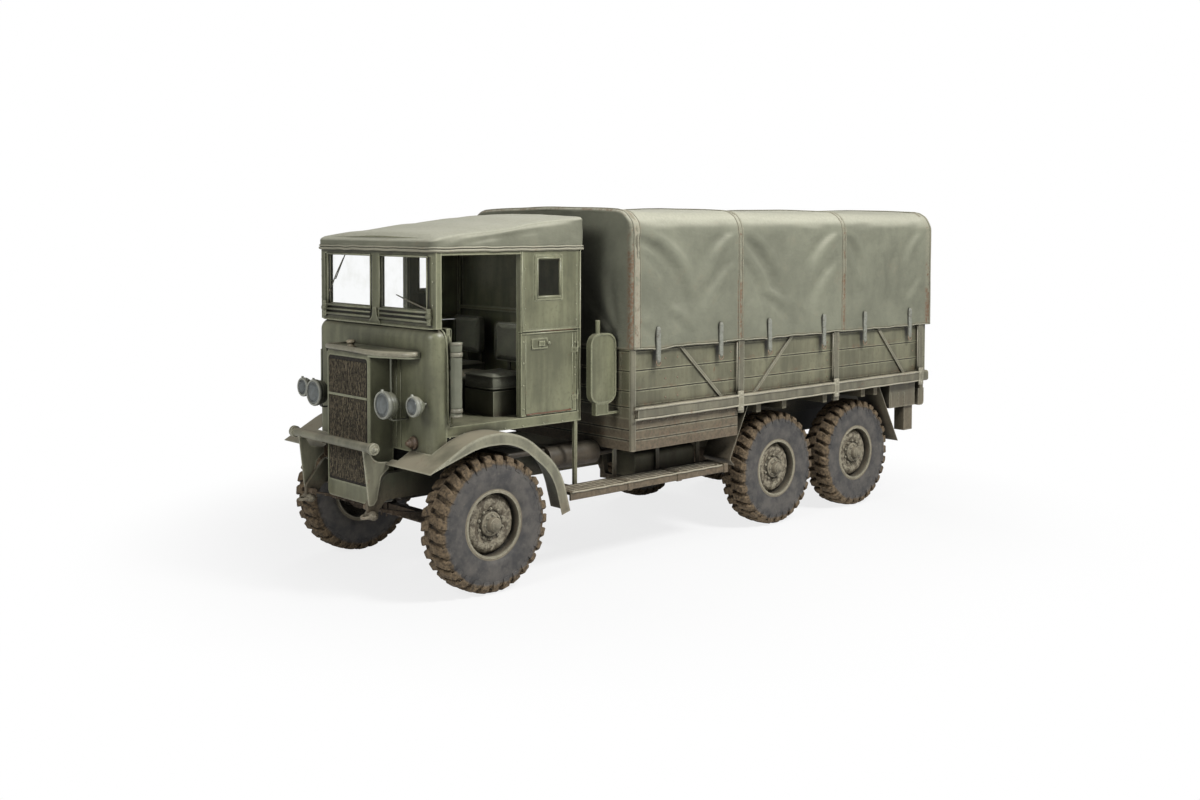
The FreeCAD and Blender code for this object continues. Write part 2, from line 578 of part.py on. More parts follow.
def bow(name, y):
    top = f"{roof_height(y)} - skin - rest_gap"
    line = across([("cab_half", "screen_high"), ("cab_half", top, "roof_corner - skin")])
    line.insert(2, ("0", top + " + roof_crown - 3", "6000"))
    return slab(name, "XZ", y, "30", band(line, "bow_thick"))


cant_rail = box("cant_rail", "cab_half - 30", "screen_front + screen_thick", "screen_high - 30", "30",
                "quarter_front - screen_front - screen_thick", "30")
middle_bow = bow("middle_bow", "screen_front + 720")
rails_and_bow = fuse("rails_and_bow", cant_rail, opposite(cant_rail), middle_bow)
group("roof_frame", bow("front_bow", "screen_front + 10"), rails_and_bow)

roof = doc.addObject("PartDesign::Body", "roof_skin")
roof_sections = []
for label, y, edge in (("front", "roof_front", "roof_edge_front"), ("rear", "roof_rear", "roof_edge_rear")):
    line = across([("cab_half + 1", "roof_low"), ("cab_half + 1", f"{edge} - skin", "roof_corner - skin")])
    line.insert(2, ("0", f"{edge} - skin + roof_crown", "6000"))
    roof_sections.append(sketched(roof, f"roof_{label}", "XZ", y, [band(line, "skin", -1)]))
loft = roof.newObject("PartDesign::AdditiveLoft", "roof_loft")
loft.Profile = roof_sections[0]
loft.Sections = [roof_sections[1]]
loft.Ruled = True
roof.Tip = loft
flap_line = across([("cab_half + 3", "roof_low"), ("cab_half + 3", "roof_edge_front - skin / 2",
                                                   "roof_corner")])
flap_line.insert(2, ("0", "roof_edge_front - skin / 2 + roof_crown", "6000"))
roof_flap = slab("roof_flap", "XZ", "roof_front", "skin", flap_line)
fuse("cab_roof", roof, roof_flap)

# ---- rolled door curtains ----------------------------------------------------------------------
roll = spun("roll", "Y", [
    ("0", "0"), ("roll_radius - 10", "0"), ("roll_radius - 6", "6"), ("roll_radius - 6", "88"),
    ("roll_radius - 16", "94"), ("roll_radius - 16", "100"), ("roll_radius", "106"), ("roll_radius", "160"),
    ("roll_radius - 9", "166"), ("roll_radius - 9", "176"), ("roll_radius - 2", "186"),
    ("roll_radius - 2", "352"),
    ("roll_radius - 14", "360"), ("roll_radius - 14", "378"), ("roll_radius - 3", "388"),
    ("roll_radius - 3", "560", "14"), ("0", "570")])
roll.Placement = Placement(Vector(), Rotation(Vector(1, 0, 0), 90))
put(roll, "cab_half + roll_out", "cowl_rear + 56", "floor_high + 80")
roll_ties = [box(f"roll_tie_{number}", "cab_half - 20", "cowl_rear + 30", f"floor_high + {height}",
                 "roll_out + 10",
                 "20", "22") for number, height in enumerate((130, 560))]
pair("door_curtains", fuse("door_curtain", roll, *roll_ties))

# ---- seats, engine cover, steering -------------------------------------------------------------
SEATS = (("near", "near_seat", "seat_inner"), ("far", "far_seat", "-seat_inner - seat_wide"))
frames, cushions, backs = [], [], []
for label, front, inner in SEATS:
    seat_box = box(label + "_box", f"{inner} + 10", f"{front} + 15", "floor_high", "seat_wide - 20",
                   "cushion_long - 15", "seat_high - floor_high")
    bars = [box(f"{label}_bar_{side}", f"{inner} + {side}", f"{front} + cushion_long - 1", "floor_high",
                "30", "16", "back_high - 50 - floor_high") for side in (90, 280)]
    frames.append(fuse(label + "_frame", seat_box, *bars))
    cushion = slab(label + "_cushion", "XY", "seat_high + rest_gap", "cushion_thick - rest_gap",
                   [(inner, front, "35"), (f"{inner} + seat_wide", front, "35"),
                    (f"{inner} + seat_wide", f"{front} + cushion_long - 2", "35"),
                    (inner, f"{front} + cushion_long - 2", "35")])
    cushions.append(cushion)
    backs.append(slab(label + "_back", "XZ", f"{front} + cushion_long - 1 - rest_gap - back_thick",
                      "back_thick",
                      [(f"{inner} + 10", "back_low", "30"), (f"{inner} + seat_wide - 10", "back_low", "30"),
                       (f"{inner} + seat_wide - 10", "back_high", "30"),
                       (f"{inner} + 10", "back_high", "30")]))
cover = slab("engine_cover", "XZ", "cowl_rear + 20", "960",
             across([("200", "floor_high"), ("185", "floor_high + 300", "40")]))
group("cab_boxes", *frames, cover)
group("seat_cushions", *cushions)
group("seat_backs", *backs)

column = rod("column", "Z", "0", "0", "0", "column_radius", "column_long")
column.Placement = Placement(Vector(), Rotation(Vector(1, 0, 0), -30))
put(column, "helm_side", "helm_foot", "floor_high + column_lift")
column_foot = box("column_foot", "helm_side - 60", "helm_foot - 50", "floor_high", "120", "120", "30")
fuse("steering_column", column, column_foot)

rim = doc.addObject("Part::Torus", "helm_ring")
bind(rim, Radius1="helm_radius", Radius2="helm_rim")
hub = rod("helm_hub", "Z", "0", "0", "-helm_drop", "34", "48")
spokes = []
for number in range(4):
    spoke = rod(f"helm_spoke_{number}", "X", "0", "0", "-5", "8", "helm_radius")
    spoke.Placement = Placement(Vector(), Rotation(Vector(0, 0, 1), 45 + 90 * number) * TURNS["X"])
    spokes.append(spoke)
helm = fuse("steering_wheel", rim, hub, *spokes)
helm.Placement = Placement(Vector(), Rotation(Vector(1, 0, 0), -30))
put(helm, "helm_side", "helm_foot + (column_long + helm_drop + pivot_gap) * sin(column_tilt)",
    "floor_high + column_lift + (column_long + helm_drop + pivot_gap) * cos(column_tilt)")

# ---- wings -------------------------------------------------------------------------------------
wing_line = [("wing_tip", "wing_tip_high"), ("wing_rise", "wing_high", "700"),
             ("wing_fall", "wing_high", "600"),
             ("wing_knee", "rail_top - 25", "580"), ("wing_tail", "axle_height + 3")]
crown = slab("wing_crown", "YZ", "cab_half + rest_gap", "wing_outer - cab_half - rest_gap",
             band(wing_line, "skin", -1))
lip = slab("wing_edge", "YZ", "wing_outer - skin", "skin", band(wing_line, "wing_lip", -1)[:-1])
apron = slab("wing_apron", "YZ", "wing_inner", "cab_half + 2 - wing_inner", band(
    [("wing_tip", "wing_tip_high"),
     ("cowl_front - rest_gap - skin", "wing_tip_high + wing_slope * (cowl_front - rest_gap - skin - wing_tip)")],
    "skin", -1))
tip_stay = slab("wing_stay", "YZ", "rail_half + plate_thick + rest_gap",
                "wing_inner - rail_half - plate_thick + 1",
                band([("wing_tip", "wing_tip_high"),
                      ("wing_tip + 60", "wing_tip_high + wing_slope * 60")], "skin", -1))
pair("front_wings", fuse("front_wing", crown, lip, apron, tip_stay))

# ---- running boards ----------------------------------------------------------------------------
board = slab("board", "XZ", "board_front", "board_rear - board_front", [
    ("board_inner", "board_top - board_thick"), ("board_outer - 18", "board_top - board_thick"),
    ("board_outer - 18", "board_top - board_lip", "8"), ("board_outer", "board_top - board_lip", "8"),
    ("board_outer", "board_top", "14"), ("board_inner", "board_top")])
board_pieces = [board]
for number, x in enumerate((28, 70, 112, 154)):
    board_pieces.append(box(f"tread_{number}", f"board_inner + {x}", "board_front + 12", "board_top - 1",
                            "24",
                            "board_rear - board_front - 24", "board_tread + 1"))
for label, y in (("front", "body_front + 50"), ("middle", "body_front + 570"), ("rear", "body_front + 1090")):
    board_pieces.append(box(f"hanger_{label}", "board_inner + 6", y, "board_top - 1", "12", "40",
                            "bearer_low - board_top + 1"))
for label, y in (("front", "board_front + 640"), ("middle", "board_front + 1240"),
                 ("rear", "board_rear - 50")):
    board_pieces.append(slab(f"clamp_{label}", "XZ", y, "50", [
        ("board_inner - 6", "board_top - board_thick - 6"), ("board_outer - 25",
                                                             "board_top - board_thick - 6"),
        ("board_outer - 25", "board_top - board_lip - 6", "8"),
        ("board_outer + 7", "board_top - board_lip - 6", "8"),
        ("board_outer + 7", "board_top + 8", "16"), ("board_inner - 6", "board_top + 8")]))
for label, y in (("front", "board_front + 230"), ("middle", "tank_front - 120"),
                 ("rear", "board_rear - 110")):
    board_pieces.append(slab(f"arm_{label}", "XZ", y, "50", [
        ("rail_half", "rail_top - 40"), ("rail_half", "board_top - board_thick - 45"),
        ("board_outer - 60", "board_top - board_thick - 20"),
        ("board_outer - 60", "board_top - board_thick + 1"),
        ("rail_half + 60", "board_top - board_thick + 1", "30"), ("rail_half + 12", "rail_top - 40")]))
pair("running_boards", fuse("running_board", *board_pieces))

# ---- lamps -------------------------------------------------------------------------------------
def lamp(name, radius, depth):
    return spun(name, "Y", [("0", "0"), (f"{radius} - 10", "0"), (radius, "8"), (radius, "lamp_lip"),
                            (f"{radius} - 7", "lamp_lip + 5"), (f"{radius} - 9", f"{depth} * 0.6", "30"),
                            (f"{radius} * 0.45", depth), ("0", depth)])


head = put(lamp("head_bowl", "head_lamp_radius", "head_lamp_long"), "head_lamp_x", "radiator_front - 5",
           "lamp_height")
head_arm = slab("head_arm", "YZ", "head_lamp_x - 18", "36", band([
    ("radiator_front + 55", "lamp_height - 70"), ("radiator_front + 55", "lamp_height - 128", "30"),
    ("cowl_front", "lamp_height - 128")], "9"))
head_pipe = rod("head_pipe", "Z", "head_lamp_x", "radiator_front + 70", "lamp_height + 80", "8",
                "brow_low - rest_gap - lamp_height - 80")
side = put(lamp("side_bowl", "side_lamp_radius", "side_lamp_long"), "side_lamp_x", "cowl_front - 155",
           "lamp_height + 13")
side_arm = rod("side_arm", "Y", "side_lamp_x - 51", "cowl_front - 90", "lamp_height + 13", "12", "90")
pair("lamps", group("lamp_set", fuse("head_lamp", head, head_arm, head_pipe),
                    fuse("side_lamp", side, side_arm)))

# ---- cargo floor and what carries it -----------------------------------------------------------
box("cargo_floor", "plank_thick - body_half", "body_front + head_thick", "bed_low",
    "2 * (body_half - plank_thick)",
    "gate_rear - gate_thick - 12 - body_front - head_thick", "floor_thick")
runners = box("runner", "rail_half - rail_flange", "body_front + skirt_thick", "rail_top", "rail_flange",
              "rail_rear - body_front - skirt_thick", "bearer_low - rail_top")
bearers = [box(f"bearer_{number}", "-body_half", y, "bearer_low", "2 * body_half", "bearer_wide",
               "bearer_deep")
           for number, y in enumerate(("body_front + 40", "body_front + 560", "body_front + 1080",
                                       "mid_axle - 400",
                                       "mid_axle - 30", "bogie_mid - 30", "rear_axle - 30", "rear_axle + 180",
                                       "body_rear - 110"))]
pair("body_runners", runners)
group("body_bearers", *bearers)

# ---- body sides --------------------------------------------------------------------------------
third_high = "side_high - top_plank"
PLANKS = (("bottom", "plank_low", third_high + " - 2 * plank_wide"),
          ("second", third_high + " - 2 * plank_wide", third_high + " - plank_wide"),
          ("third", third_high + " - plank_wide", third_high),
          ("top", third_high, "side_high"))
planks = [box(f"plank_{label}", "body_half - plank_thick", "body_front + head_thick",
              f"{low} + plank_gap / 2",
              "plank_thick", "gate_rear - gate_thick - 6 - body_front - head_thick",
              f"{high} - ({low}) - plank_gap")
          for label, low, high in PLANKS]
pair("side_planks", group("near_planks", *planks))

rub_rail = slab("rub_rail", "XZ", "body_front + 48", "gate_rear - gate_thick - 6 - body_front - 48", [
    ("body_half", "rub_low"), ("body_half + rub_proud", "rub_low", "30"),
    ("body_half + rub_proud", "rub_high", "30"), ("body_half", "rub_high")])
cap_rail = box("cap_rail", "body_half - plank_thick", "body_front + head_thick", "side_high",
               "plank_thick + post_proud",
               "gate_rear - gate_thick - 6 - body_front - head_thick", "cap_thick")
framing = [rub_rail, cap_rail]
for label, y, low in (("front", "post_front", "rub_low - 60"), ("middle", "post_middle", "rub_low - 75"),
                      ("rear", "post_rear", "rub_low")):
    framing.append(slab(f"post_{label}", "XY", low, f"side_high + 2 - ({low})", [
        ("body_half", y), ("body_half + post_proud", y, "6"),
        ("body_half + post_proud", f"{y} + post_width", "6"), ("body_half", f"{y} + post_width")]))
framing.append(slab("corner_post", "XY", "skirt_low", "side_high + 2 - skirt_low", [
    ("body_half", "body_front"), ("body_half + post_proud", "body_front", "22"),
    ("body_half + post_proud", "body_front + 50", "6"), ("body_half", "body_front + 50")]))
for label, top, foot in (("front", "post_front - 832", "post_front - 228"),
                         ("middle", "post_front + 827", "post_front + 222"),
                         ("rear", "post_rear - 785", "post_rear - 272")):
    framing.append(slab(f"brace_{label}", "YZ", "body_half", "brace_thick", [
        (top, "side_high"), (f"{top} + 42", "side_high"), (f"{foot} + 42", "rub_high - 5"),
        (foot, "rub_high - 5")]))
pair("side_framing", fuse("near_framing", *framing))

headboard_face = box("headboard_face", "-body_half", "body_front", "bed_low", "2 * body_half", "head_thick",
                     "side_high - bed_low + cap_thick")
battens = [box(f"batten_{number}", f"{x} - 30", "body_front - batten_thick", "floor_top", "60",
               "batten_thick + 2",
               "tilt_low - 20 - floor_top")
           for number, x in enumerate(("12 - (cab_half + body_half) / 2", "-320", "320",
                                       "(cab_half + body_half) / 2 - 12"))]
fuse("headboard", headboard_face, *battens)

skirts = []
for label, low, high in (("low", "skirt_low", "skirt_split"), ("high", "skirt_split + plank_gap", "rub_low")):
    skirt_side = box(f"skirt_side_{label}", "body_half", "body_front + 50", low, "skirt_thick",
                     "skirt_rear - body_front - 50", f"{high} - ({low})")
    skirts += [skirt_side, opposite(skirt_side)]
skirts.append(box("skirt_front_low", "-body_half", "body_front", "skirt_low", "2 * body_half", "skirt_thick",
                  "skirt_board"))
skirts.append(box("skirt_front_high", "-body_half", "body_front", "skirt_split + plank_gap", "2 * body_half",
                  "skirt_thick", "bed_low - skirt_split - plank_gap"))
group("skirt_panels", *skirts)

# ---- tilt: hoops, canvas, straps ---------------------------------------------------------------
def tilt_line(inset, foot):
    line = across([(f"tilt_half - {inset}", foot), (f"tilt_half - {inset}", f"tilt_high - {inset}",
                                                    f"tilt_corner - {inset}")])
    line.insert(2, ("0", f"tilt_high + tilt_crown - {inset}", f"9000 - {inset}"))
    return line


group("tilt_hoops", *[
    slab(f"hoop_{number}", "XZ", y, "hoop_wide", band(tilt_line("rest_gap", "side_high + cap_thick"),
                                                      "hoop_thick"))
    for number, y in enumerate(("body_front + 30", "post_front + 15", "post_middle + 135",
                                "body_rear - 95"))])
tilt_band = band(tilt_line("0", "tilt_low"), "tilt_skin", -1)
tilt_run = slab("tilt_run", "XZ", "body_front - 9", "body_rear - body_front + 13", tilt_band)
tilt_front = slab("tilt_front", "XZ", "body_front - 9 - tilt_skin", "tilt_skin",
                  tilt_band[len(tilt_band) // 2:])
fuse("tilt_canvas", tilt_run, tilt_front)

straps = []
for number, y in enumerate(("body_front + 298", "post_front - 255", "post_front + 415", "post_middle - 185",
                            "post_middle + 475", "post_rear - 193")):
    straps.append(slab(f"strap_{number}", "XZ", f"{y} - strap_wide / 2", "strap_wide", [
        ("body_half", "strap_low + 8"), ("tilt_half + tilt_skin + rest_gap + strap_thick", "strap_low + 8",
                                         "10"),
        ("tilt_half + tilt_skin + rest_gap + strap_thick", "strap_high", "14"),
        ("tilt_half + tilt_skin + rest_gap", "strap_high"),
        ("tilt_half + tilt_skin + rest_gap", "strap_low + 34"), ("body_half", "strap_low + 34")]))
pair("tilt_straps", group("near_straps", *straps))

# ---- tailgate ----------------------------------------------------------------------------------
gate = slab("gate_board", "XZ", "gate_rear - gate_thick", "gate_thick",
            rectangle("12 - body_half", "floor_top - 10", "body_half - 12", "gate_high"))
gate_pieces = [gate]
hinge_leaves = []
for number, x in enumerate(("-760", "0", "760")):
    gate_pieces.append(box(f"gate_strap_{number}", f"{x} - 30", "gate_rear - 1", "gate_hinge - 4", "60", "9",
                           "gate_high - gate_hinge - 40"))
    gate_pieces.append(rod(f"gate_barrel_{number}", "X", f"{x} - 30", "gate_rear + 10", "gate_hinge", "12",
                           "60"))
    for label, start in (("left", "30 + pivot_gap"), ("right", "-70 - pivot_gap")):
        knuckle = rod(f"sill_barrel_{number}_{label}", "X", f"{x} + {start}", "gate_rear + 10", "gate_hinge",
                      "12", "40")
        leaf = box(f"sill_leaf_{number}_{label}", f"{x} + {start}", "body_rear - 110 + bearer_wide",
                   "gate_hinge - 16",
                   "40", "gate_rear + 60 - body_rear", "9")
        hinge_leaves += [fuse(f"sill_hinge_{number}_{label}", knuckle, leaf)]
fuse("tailgate", *gate_pieces)
group("gate_hinges", *hinge_leaves)

# ---- mudguards and tail boxes ------------------------------------------------------------------
guard_front = "mid_axle - tyre_radius - 223"
guard_rear = "rear_axle + tyre_radius"
front_guard = slab("front_guard", "YZ", "rear_half_track - tyre_half",
                   "body_half - 5 - rear_half_track + tyre_half", [
    (f"{guard_front} + 255", "bed_low"), (guard_front, "axle_height + 180", "20"),
    (f"{guard_front} + 60", "axle_height + 120"), (f"{guard_front} + 64", "axle_height + 124"),
    (f"{guard_front} + 8", "axle_height + 180", "16"), (f"{guard_front} + 262", "bed_low")])
rear_guard = slab("rear_guard", "YZ", "rear_half_track - tyre_half",
                  "body_half - 5 - rear_half_track + tyre_half", [
    (f"{guard_rear} - 267", "bed_low"), (f"{guard_rear} - 260", "bed_low"),
    (f"{guard_rear} + 85", "axle_height + 63"), (f"{guard_rear} + 78", "axle_height + 63")])
pair("bogie_mudguards", group("near_guards", front_guard, rear_guard))

box_front = f"{guard_rear} - 72"
tail_box = box("tail_box", "body_half - 170", box_front, "skirt_low + 10", "165",
               f"body_rear - 198 - ({box_front})", "bed_low - skirt_low - 10")
tail_ribs = [box(f"tail_rib_{number}", "body_half - 6", f"{box_front} + {y}", "skirt_low + 16", "6", "14",
                 "bearer_low - skirt_low - 32") for number, y in enumerate((20, 150, 250))]
tail_stop = box("tail_stop", "body_half - 150", "body_rear - 353", "rail_top - 240", "120", "150",
                "skirt_low + 11 - rail_top + 240")
tail_lamp = slab("tail_lamp", "YZ", "body_half - 110", "100", [
    ("body_rear - 125", "skirt_low - 5", "24"), ("body_rear - 20", "skirt_low - 5", "40"),
    ("body_rear - 20", "bearer_low"), ("body_rear - 125", "bearer_low")])
pair("tail_fittings", group("near_tail", fuse("tail_case", tail_box, tail_stop, *tail_ribs), tail_lamp))

# ---- tanks, engine, exhaust --------------------------------------------------------------------
fuel = slab("fuel_body", "XZ", "tank_front", "tank_rear - tank_front", [
    ("tank_inner", "tank_low", "tank_round"), ("tank_outer", "tank_low", "tank_round"),
    ("tank_outer", "tank_high", "50"), ("tank_inner", "tank_high", "50")])
tank_arms = [box(f"tank_arm_{number}", "rail_half", f"tank_front + {y}", "tank_high - 100",
                 "tank_inner - rail_half + 5",
                 "40", "60") for number, y in enumerate(("110", "tank_long - 150"))]
fuse("fuel_tank", fuel, *tank_arms)

tank_x = "(cab_half + body_half) / 2 - 45"
TANK_CORNERS = (("cab_rear + 3", "floor_top + 100"), ("body_front - 42", "floor_top + 100"),
                ("body_front - 42", "side_high + 80"), ("cab_rear + 3", "side_high + 80"))
tank_loop = [(y, z, "side_tank_round") for y, z in TANK_CORNERS]
side_tank_body = slab("side_tank_body", "YZ", tank_x, "42", tank_loop)
rim_loop = [(f"{y} {'+' if at in (0, 3) else '-'} 14", f"{z} {'+' if at < 2 else '-'} 14",
             "side_tank_round - 14")
            for at, (y, z) in enumerate(TANK_CORNERS)]
side_tank_rim = slab("side_tank_rim", "YZ", f"{tank_x} - 7", "56", tank_loop, rim_loop)
side_tank_neck = rod("side_tank_neck", "Z", f"{tank_x} + 21", "body_front - 230", "side_high + 70", "20",
                     "120")
side_tank_foot = box("side_tank_foot", f"{tank_x} - 5", "body_front - 270", "floor_top + 6", "50", "140",
                     "100")
side_tank_arm = box("side_tank_arm", f"{tank_x} + 3", "body_front - 200", "floor_top + 6", "40",
                    "200 - batten_thick", "20")
fuse("side_tank", side_tank_body, side_tank_rim, side_tank_neck, side_tank_foot, side_tank_arm)

block = slab("engine_block", "YZ", "-200", "400", [
    ("rail_front + 260", "rail_top - 183", "40"), ("rail_front + 300", "rail_top - 290", "30"),
    ("rail_front + 1000", "rail_top - 290", "30"), ("rail_front + 1110", "rail_top - 183", "40"),
    ("rail_front + 1110", "floor_low - 30"), ("rail_front + 260", "floor_low - 30")])
gearbox = slab("gearbox", "YZ", "-150", "300", [
    ("rail_front + 1100", "rail_top - 280", "30"), ("rail_front + 1660", "rail_top - 250", "60"),
    ("rail_front + 1660", "rail_top - 50", "60"), ("rail_front + 1100", "rail_top + 30", "30")])
mounts = [box(f"engine_foot_{number}", "rail_wall - rail_half", f"rail_front + {y}", "rail_top - 110",
              "2 * (rail_half - rail_wall)", "60", "50") for number, y in enumerate(("340", "990"))]
shaft_rise = "rail_top - 190 - axle_height - 60"
shaft_run = "mid_axle - 190 - rail_front - 1655"
shaft = rod("main_shaft", "Y", "0", "0", "0", "34", f"sqrt(({shaft_run}) ^ 2 + ({shaft_rise}) ^ 2)")
shaft.Placement = Placement(Vector(), Rotation(
    Vector(1, 0, 0), -90 - math.degrees(math.atan2(amount(shaft_rise), amount(shaft_run)))))
put(shaft, "0", "rail_front + 1655", "rail_top - 190")
between = rod("bogie_shaft", "Y", "0", "mid_axle + 185", "axle_height + 20", "30", "bogie_gap - 370")
group("powertrain", fuse("engine", block, gearbox, shaft, *mounts), between)

silencer = rod("silencer_can", "Y", "620", "front_axle + 850", "rail_top - 40", "100", "550")
down_pipe = rod("down_pipe", "X", "200", "front_axle + 475", "rail_top + 26", "24", "420")
elbow = doc.addObject("Part::Sphere", "elbow")
bind(elbow, Radius="24")
put(elbow, "620", "front_axle + 475", "rail_top + 26")
along_pipe = rod("along_pipe", "Y", "620", "front_axle + 475", "rail_top + 26", "24", "380")
tail_pipe = rod("tail_pipe", "Y", "620", "front_axle + 1395", "rail_top - 60", "24",
                "tank_front - 85 - front_axle - 1395")
hangers = [box(f"hanger_{number}", "rail_half", f"front_axle + {y}", "rail_top - 55", "60", "30", "30")
           for number, y in enumerate((870, 1290))]
fuse("exhaust", silencer, down_pipe, elbow, along_pipe, tail_pipe, *hangers)

# ---- axles -------------------------------------------------------------------------------------
beam = slab("beam", "XZ", "front_axle - 38", "76", across([
    ("king_half - 165", "beam_top - 88", "60"), ("king_half - 105", "yoke_low + yoke_ear + 8", "40"),
    ("king_half", "yoke_low + yoke_ear + 8"), ("king_half", "yoke_high - yoke_ear - 20"),
    ("king_half - 75", "yoke_high - yoke_ear - 45", "40"), ("king_half - 160", "beam_top", "40")]))
boss = rod("king_boss", "Z", "king_half", "front_axle", "yoke_low + yoke_ear + 4", "yoke_radius - 4",
           "yoke_high - yoke_low - 2 * yoke_ear - 8")
king_bore = rod("king_bore", "Z", "king_half", "front_axle", "yoke_low", "king_pin + run_gap",
                "yoke_high - yoke_low")
front_axle_piece = cut("front_axle_beam", fuse("solid_beam", beam, boss, opposite(boss)), king_bore,
                       opposite(king_bore))

rear_axles = []
for label, y in (("mid", "mid_axle"), ("rear", "rear_axle")):
    tube = rod(label + "_tube", "X", "-rear_half_track + 90", y, "axle_height", "axle_tube",
               "2 * rear_half_track - 180")
    journal = rod(label + "_journal", "X", "-rear_half_track - 85", y, "axle_height", "spindle",
                  "2 * rear_half_track + 170")
    case = put(spun(label + "_case", "X", [
        ("-190", "0"), ("-190", "70", "20"), ("-90", "185", "60"), ("90", "185", "60"), ("190", "70", "20"),
        ("190", "0")]), "0", y, "axle_height")
    drum = put(spun(label + "_drum", "X", [
        ("rear_half_track - 70 - drum_long", "0"), ("rear_half_track - 70 - drum_long", "drum_radius + 10"),
        ("rear_half_track - 55 - drum_long", "drum_radius + 10"),
        ("rear_half_track - 55 - drum_long", "drum_radius"),
        ("rear_half_track - 80", "drum_radius"), ("rear_half_track - 70", "drum_radius - 12"),
        ("rear_half_track - 70", "0")]), "0", y, "axle_height")
    rear_axles.append(fuse(label + "_axle", tube, journal, case, drum, opposite(drum)))
group("axles", front_axle_piece, *rear_axles)

# ---- leaf springs ------------------------------------------------------------------------------
def leaf(name, left, wide, centre, half, flat, height, rise, radius, side, reach):
    """One leaf: the spring's full curve at this height, cropped to the leaf's reach each way."""
    line = [(f"{centre} - ({half})", f"{height} + {rise}"), (f"{centre} - {flat}", height, radius),
            (f"{centre} + {flat}", height, radius), (f"{centre} + ({half})", f"{height} + {rise}")]
    curve = slab(name + "_curve", "YZ", left, wide, band(line, "leaf_thick", side))
    crop = box(name + "_crop", left, f"{centre} - {reach}", f"{height} - 200", wide, f"2 * {reach}", "400")
    common = doc.addObject("Part::MultiCommon", name)
    common.Shapes = [curve, crop]
    return common


springs = []
spring_left = "rail_half - iron_thick - 3 - leaf_wide"
leaves = [leaf(f"front_leaf_{number}", spring_left, "leaf_wide", "front_axle", "spring_half",
               "spring_half / 3",
               f"beam_top + ({6 - number}) * leaf_thick", "spring_rise", "1700", -1,
               f"({share}) * spring_half")
          for number, share in enumerate((1, 0.86, 0.73, 0.61, 0.5, 0.4))]
eye = rod("front_eye", "X", spring_left, "front_axle - spring_half", "eye_height", "24",
          "leaf_wide + 3")
shackle_low = "beam_top + 5 * leaf_thick + spring_rise"
shackle = box("shackle", spring_left, "front_axle + spring_half - 30", shackle_low, "leaf_wide", "40",
              f"rail_low - ({shackle_low})")
stack_top = "beam_top + 6 * leaf_thick"
spring_bolts = []
for corner, (x, y) in enumerate(((f"{spring_left} - bolt_radius - 1", "front_axle - 48"),
                                 (f"{spring_left} - bolt_radius - 1", "front_axle + 48"),
                                 (f"{spring_left} + leaf_wide + bolt_radius + 1", "front_axle - 48"),
                                 (f"{spring_left} + leaf_wide + bolt_radius + 1", "front_axle + 48"))):
    spring_bolts.append(rod(f"spring_bolt_{corner}", "Z", x, y, "beam_top - 110", "bolt_radius",
                            f"{stack_top} + 134 - beam_top"))
bolt_plate = box("bolt_plate", f"{spring_left} - 20", "front_axle - 60", stack_top, "leaf_wide + 40", "120",
                 "12")
springs.append(fuse("front_spring", *leaves, eye, shackle, *spring_bolts, bolt_plate))
bogie_leaves = [leaf(f"bogie_leaf_{number}", "bogie_spring_x", "bogie_leaf_wide", "bogie_mid",
                     "bogie_gap / 2 + 45",
                     "bogie_gap / 7", f"trunnion_height - 46 + {number} * leaf_thick", "-70", "1200", 1,
                     f"({share}) * (bogie_gap / 2 + 45)")
                for number, share in enumerate((1, 0.88, 0.77, 0.66, 0.55, 0.45, 0.36))]
saddle = slab("saddle", "YZ", "rail_half", "bogie_spring_x + bogie_leaf_wide / 2 - rail_half", [
    ("bogie_mid - 55", "trunnion_height - 62"), ("bogie_mid + 55", "trunnion_height - 62"),
    ("bogie_mid + 55", "trunnion_height + 54"), ("bogie_mid - 55", "trunnion_height + 54")])
hanger_plate = slab("hanger_plate", "YZ", "rail_half", "16", [
    ("bogie_mid - 150", "rail_top - 30"), ("bogie_mid - 60", "trunnion_height - 90", "40"),
    ("bogie_mid + 60", "trunnion_height - 90", "40"), ("bogie_mid + 150", "rail_top - 30")])
pads = [box(f"spring_pad_{number}", "bogie_spring_x", f"{y} - 35", "axle_height + 50", "bogie_leaf_wide",
            "70",
            "trunnion_height - 112 - axle_height") for number, y in enumerate(("mid_axle", "rear_axle"))]
pad_holes = [rod(f"pad_seat_{number}", "X", "bogie_spring_x - 5", y, "axle_height", "axle_tube + rest_gap",
                 "bogie_leaf_wide + 10")
             for number, y in enumerate(("mid_axle", "rear_axle"))]
springs.append(cut("bogie_spring", fuse("bogie_stack", *bogie_leaves, saddle, hanger_plate, *pads),
                   *pad_holes))
pair("leaf_springs", group("near_springs", *springs))

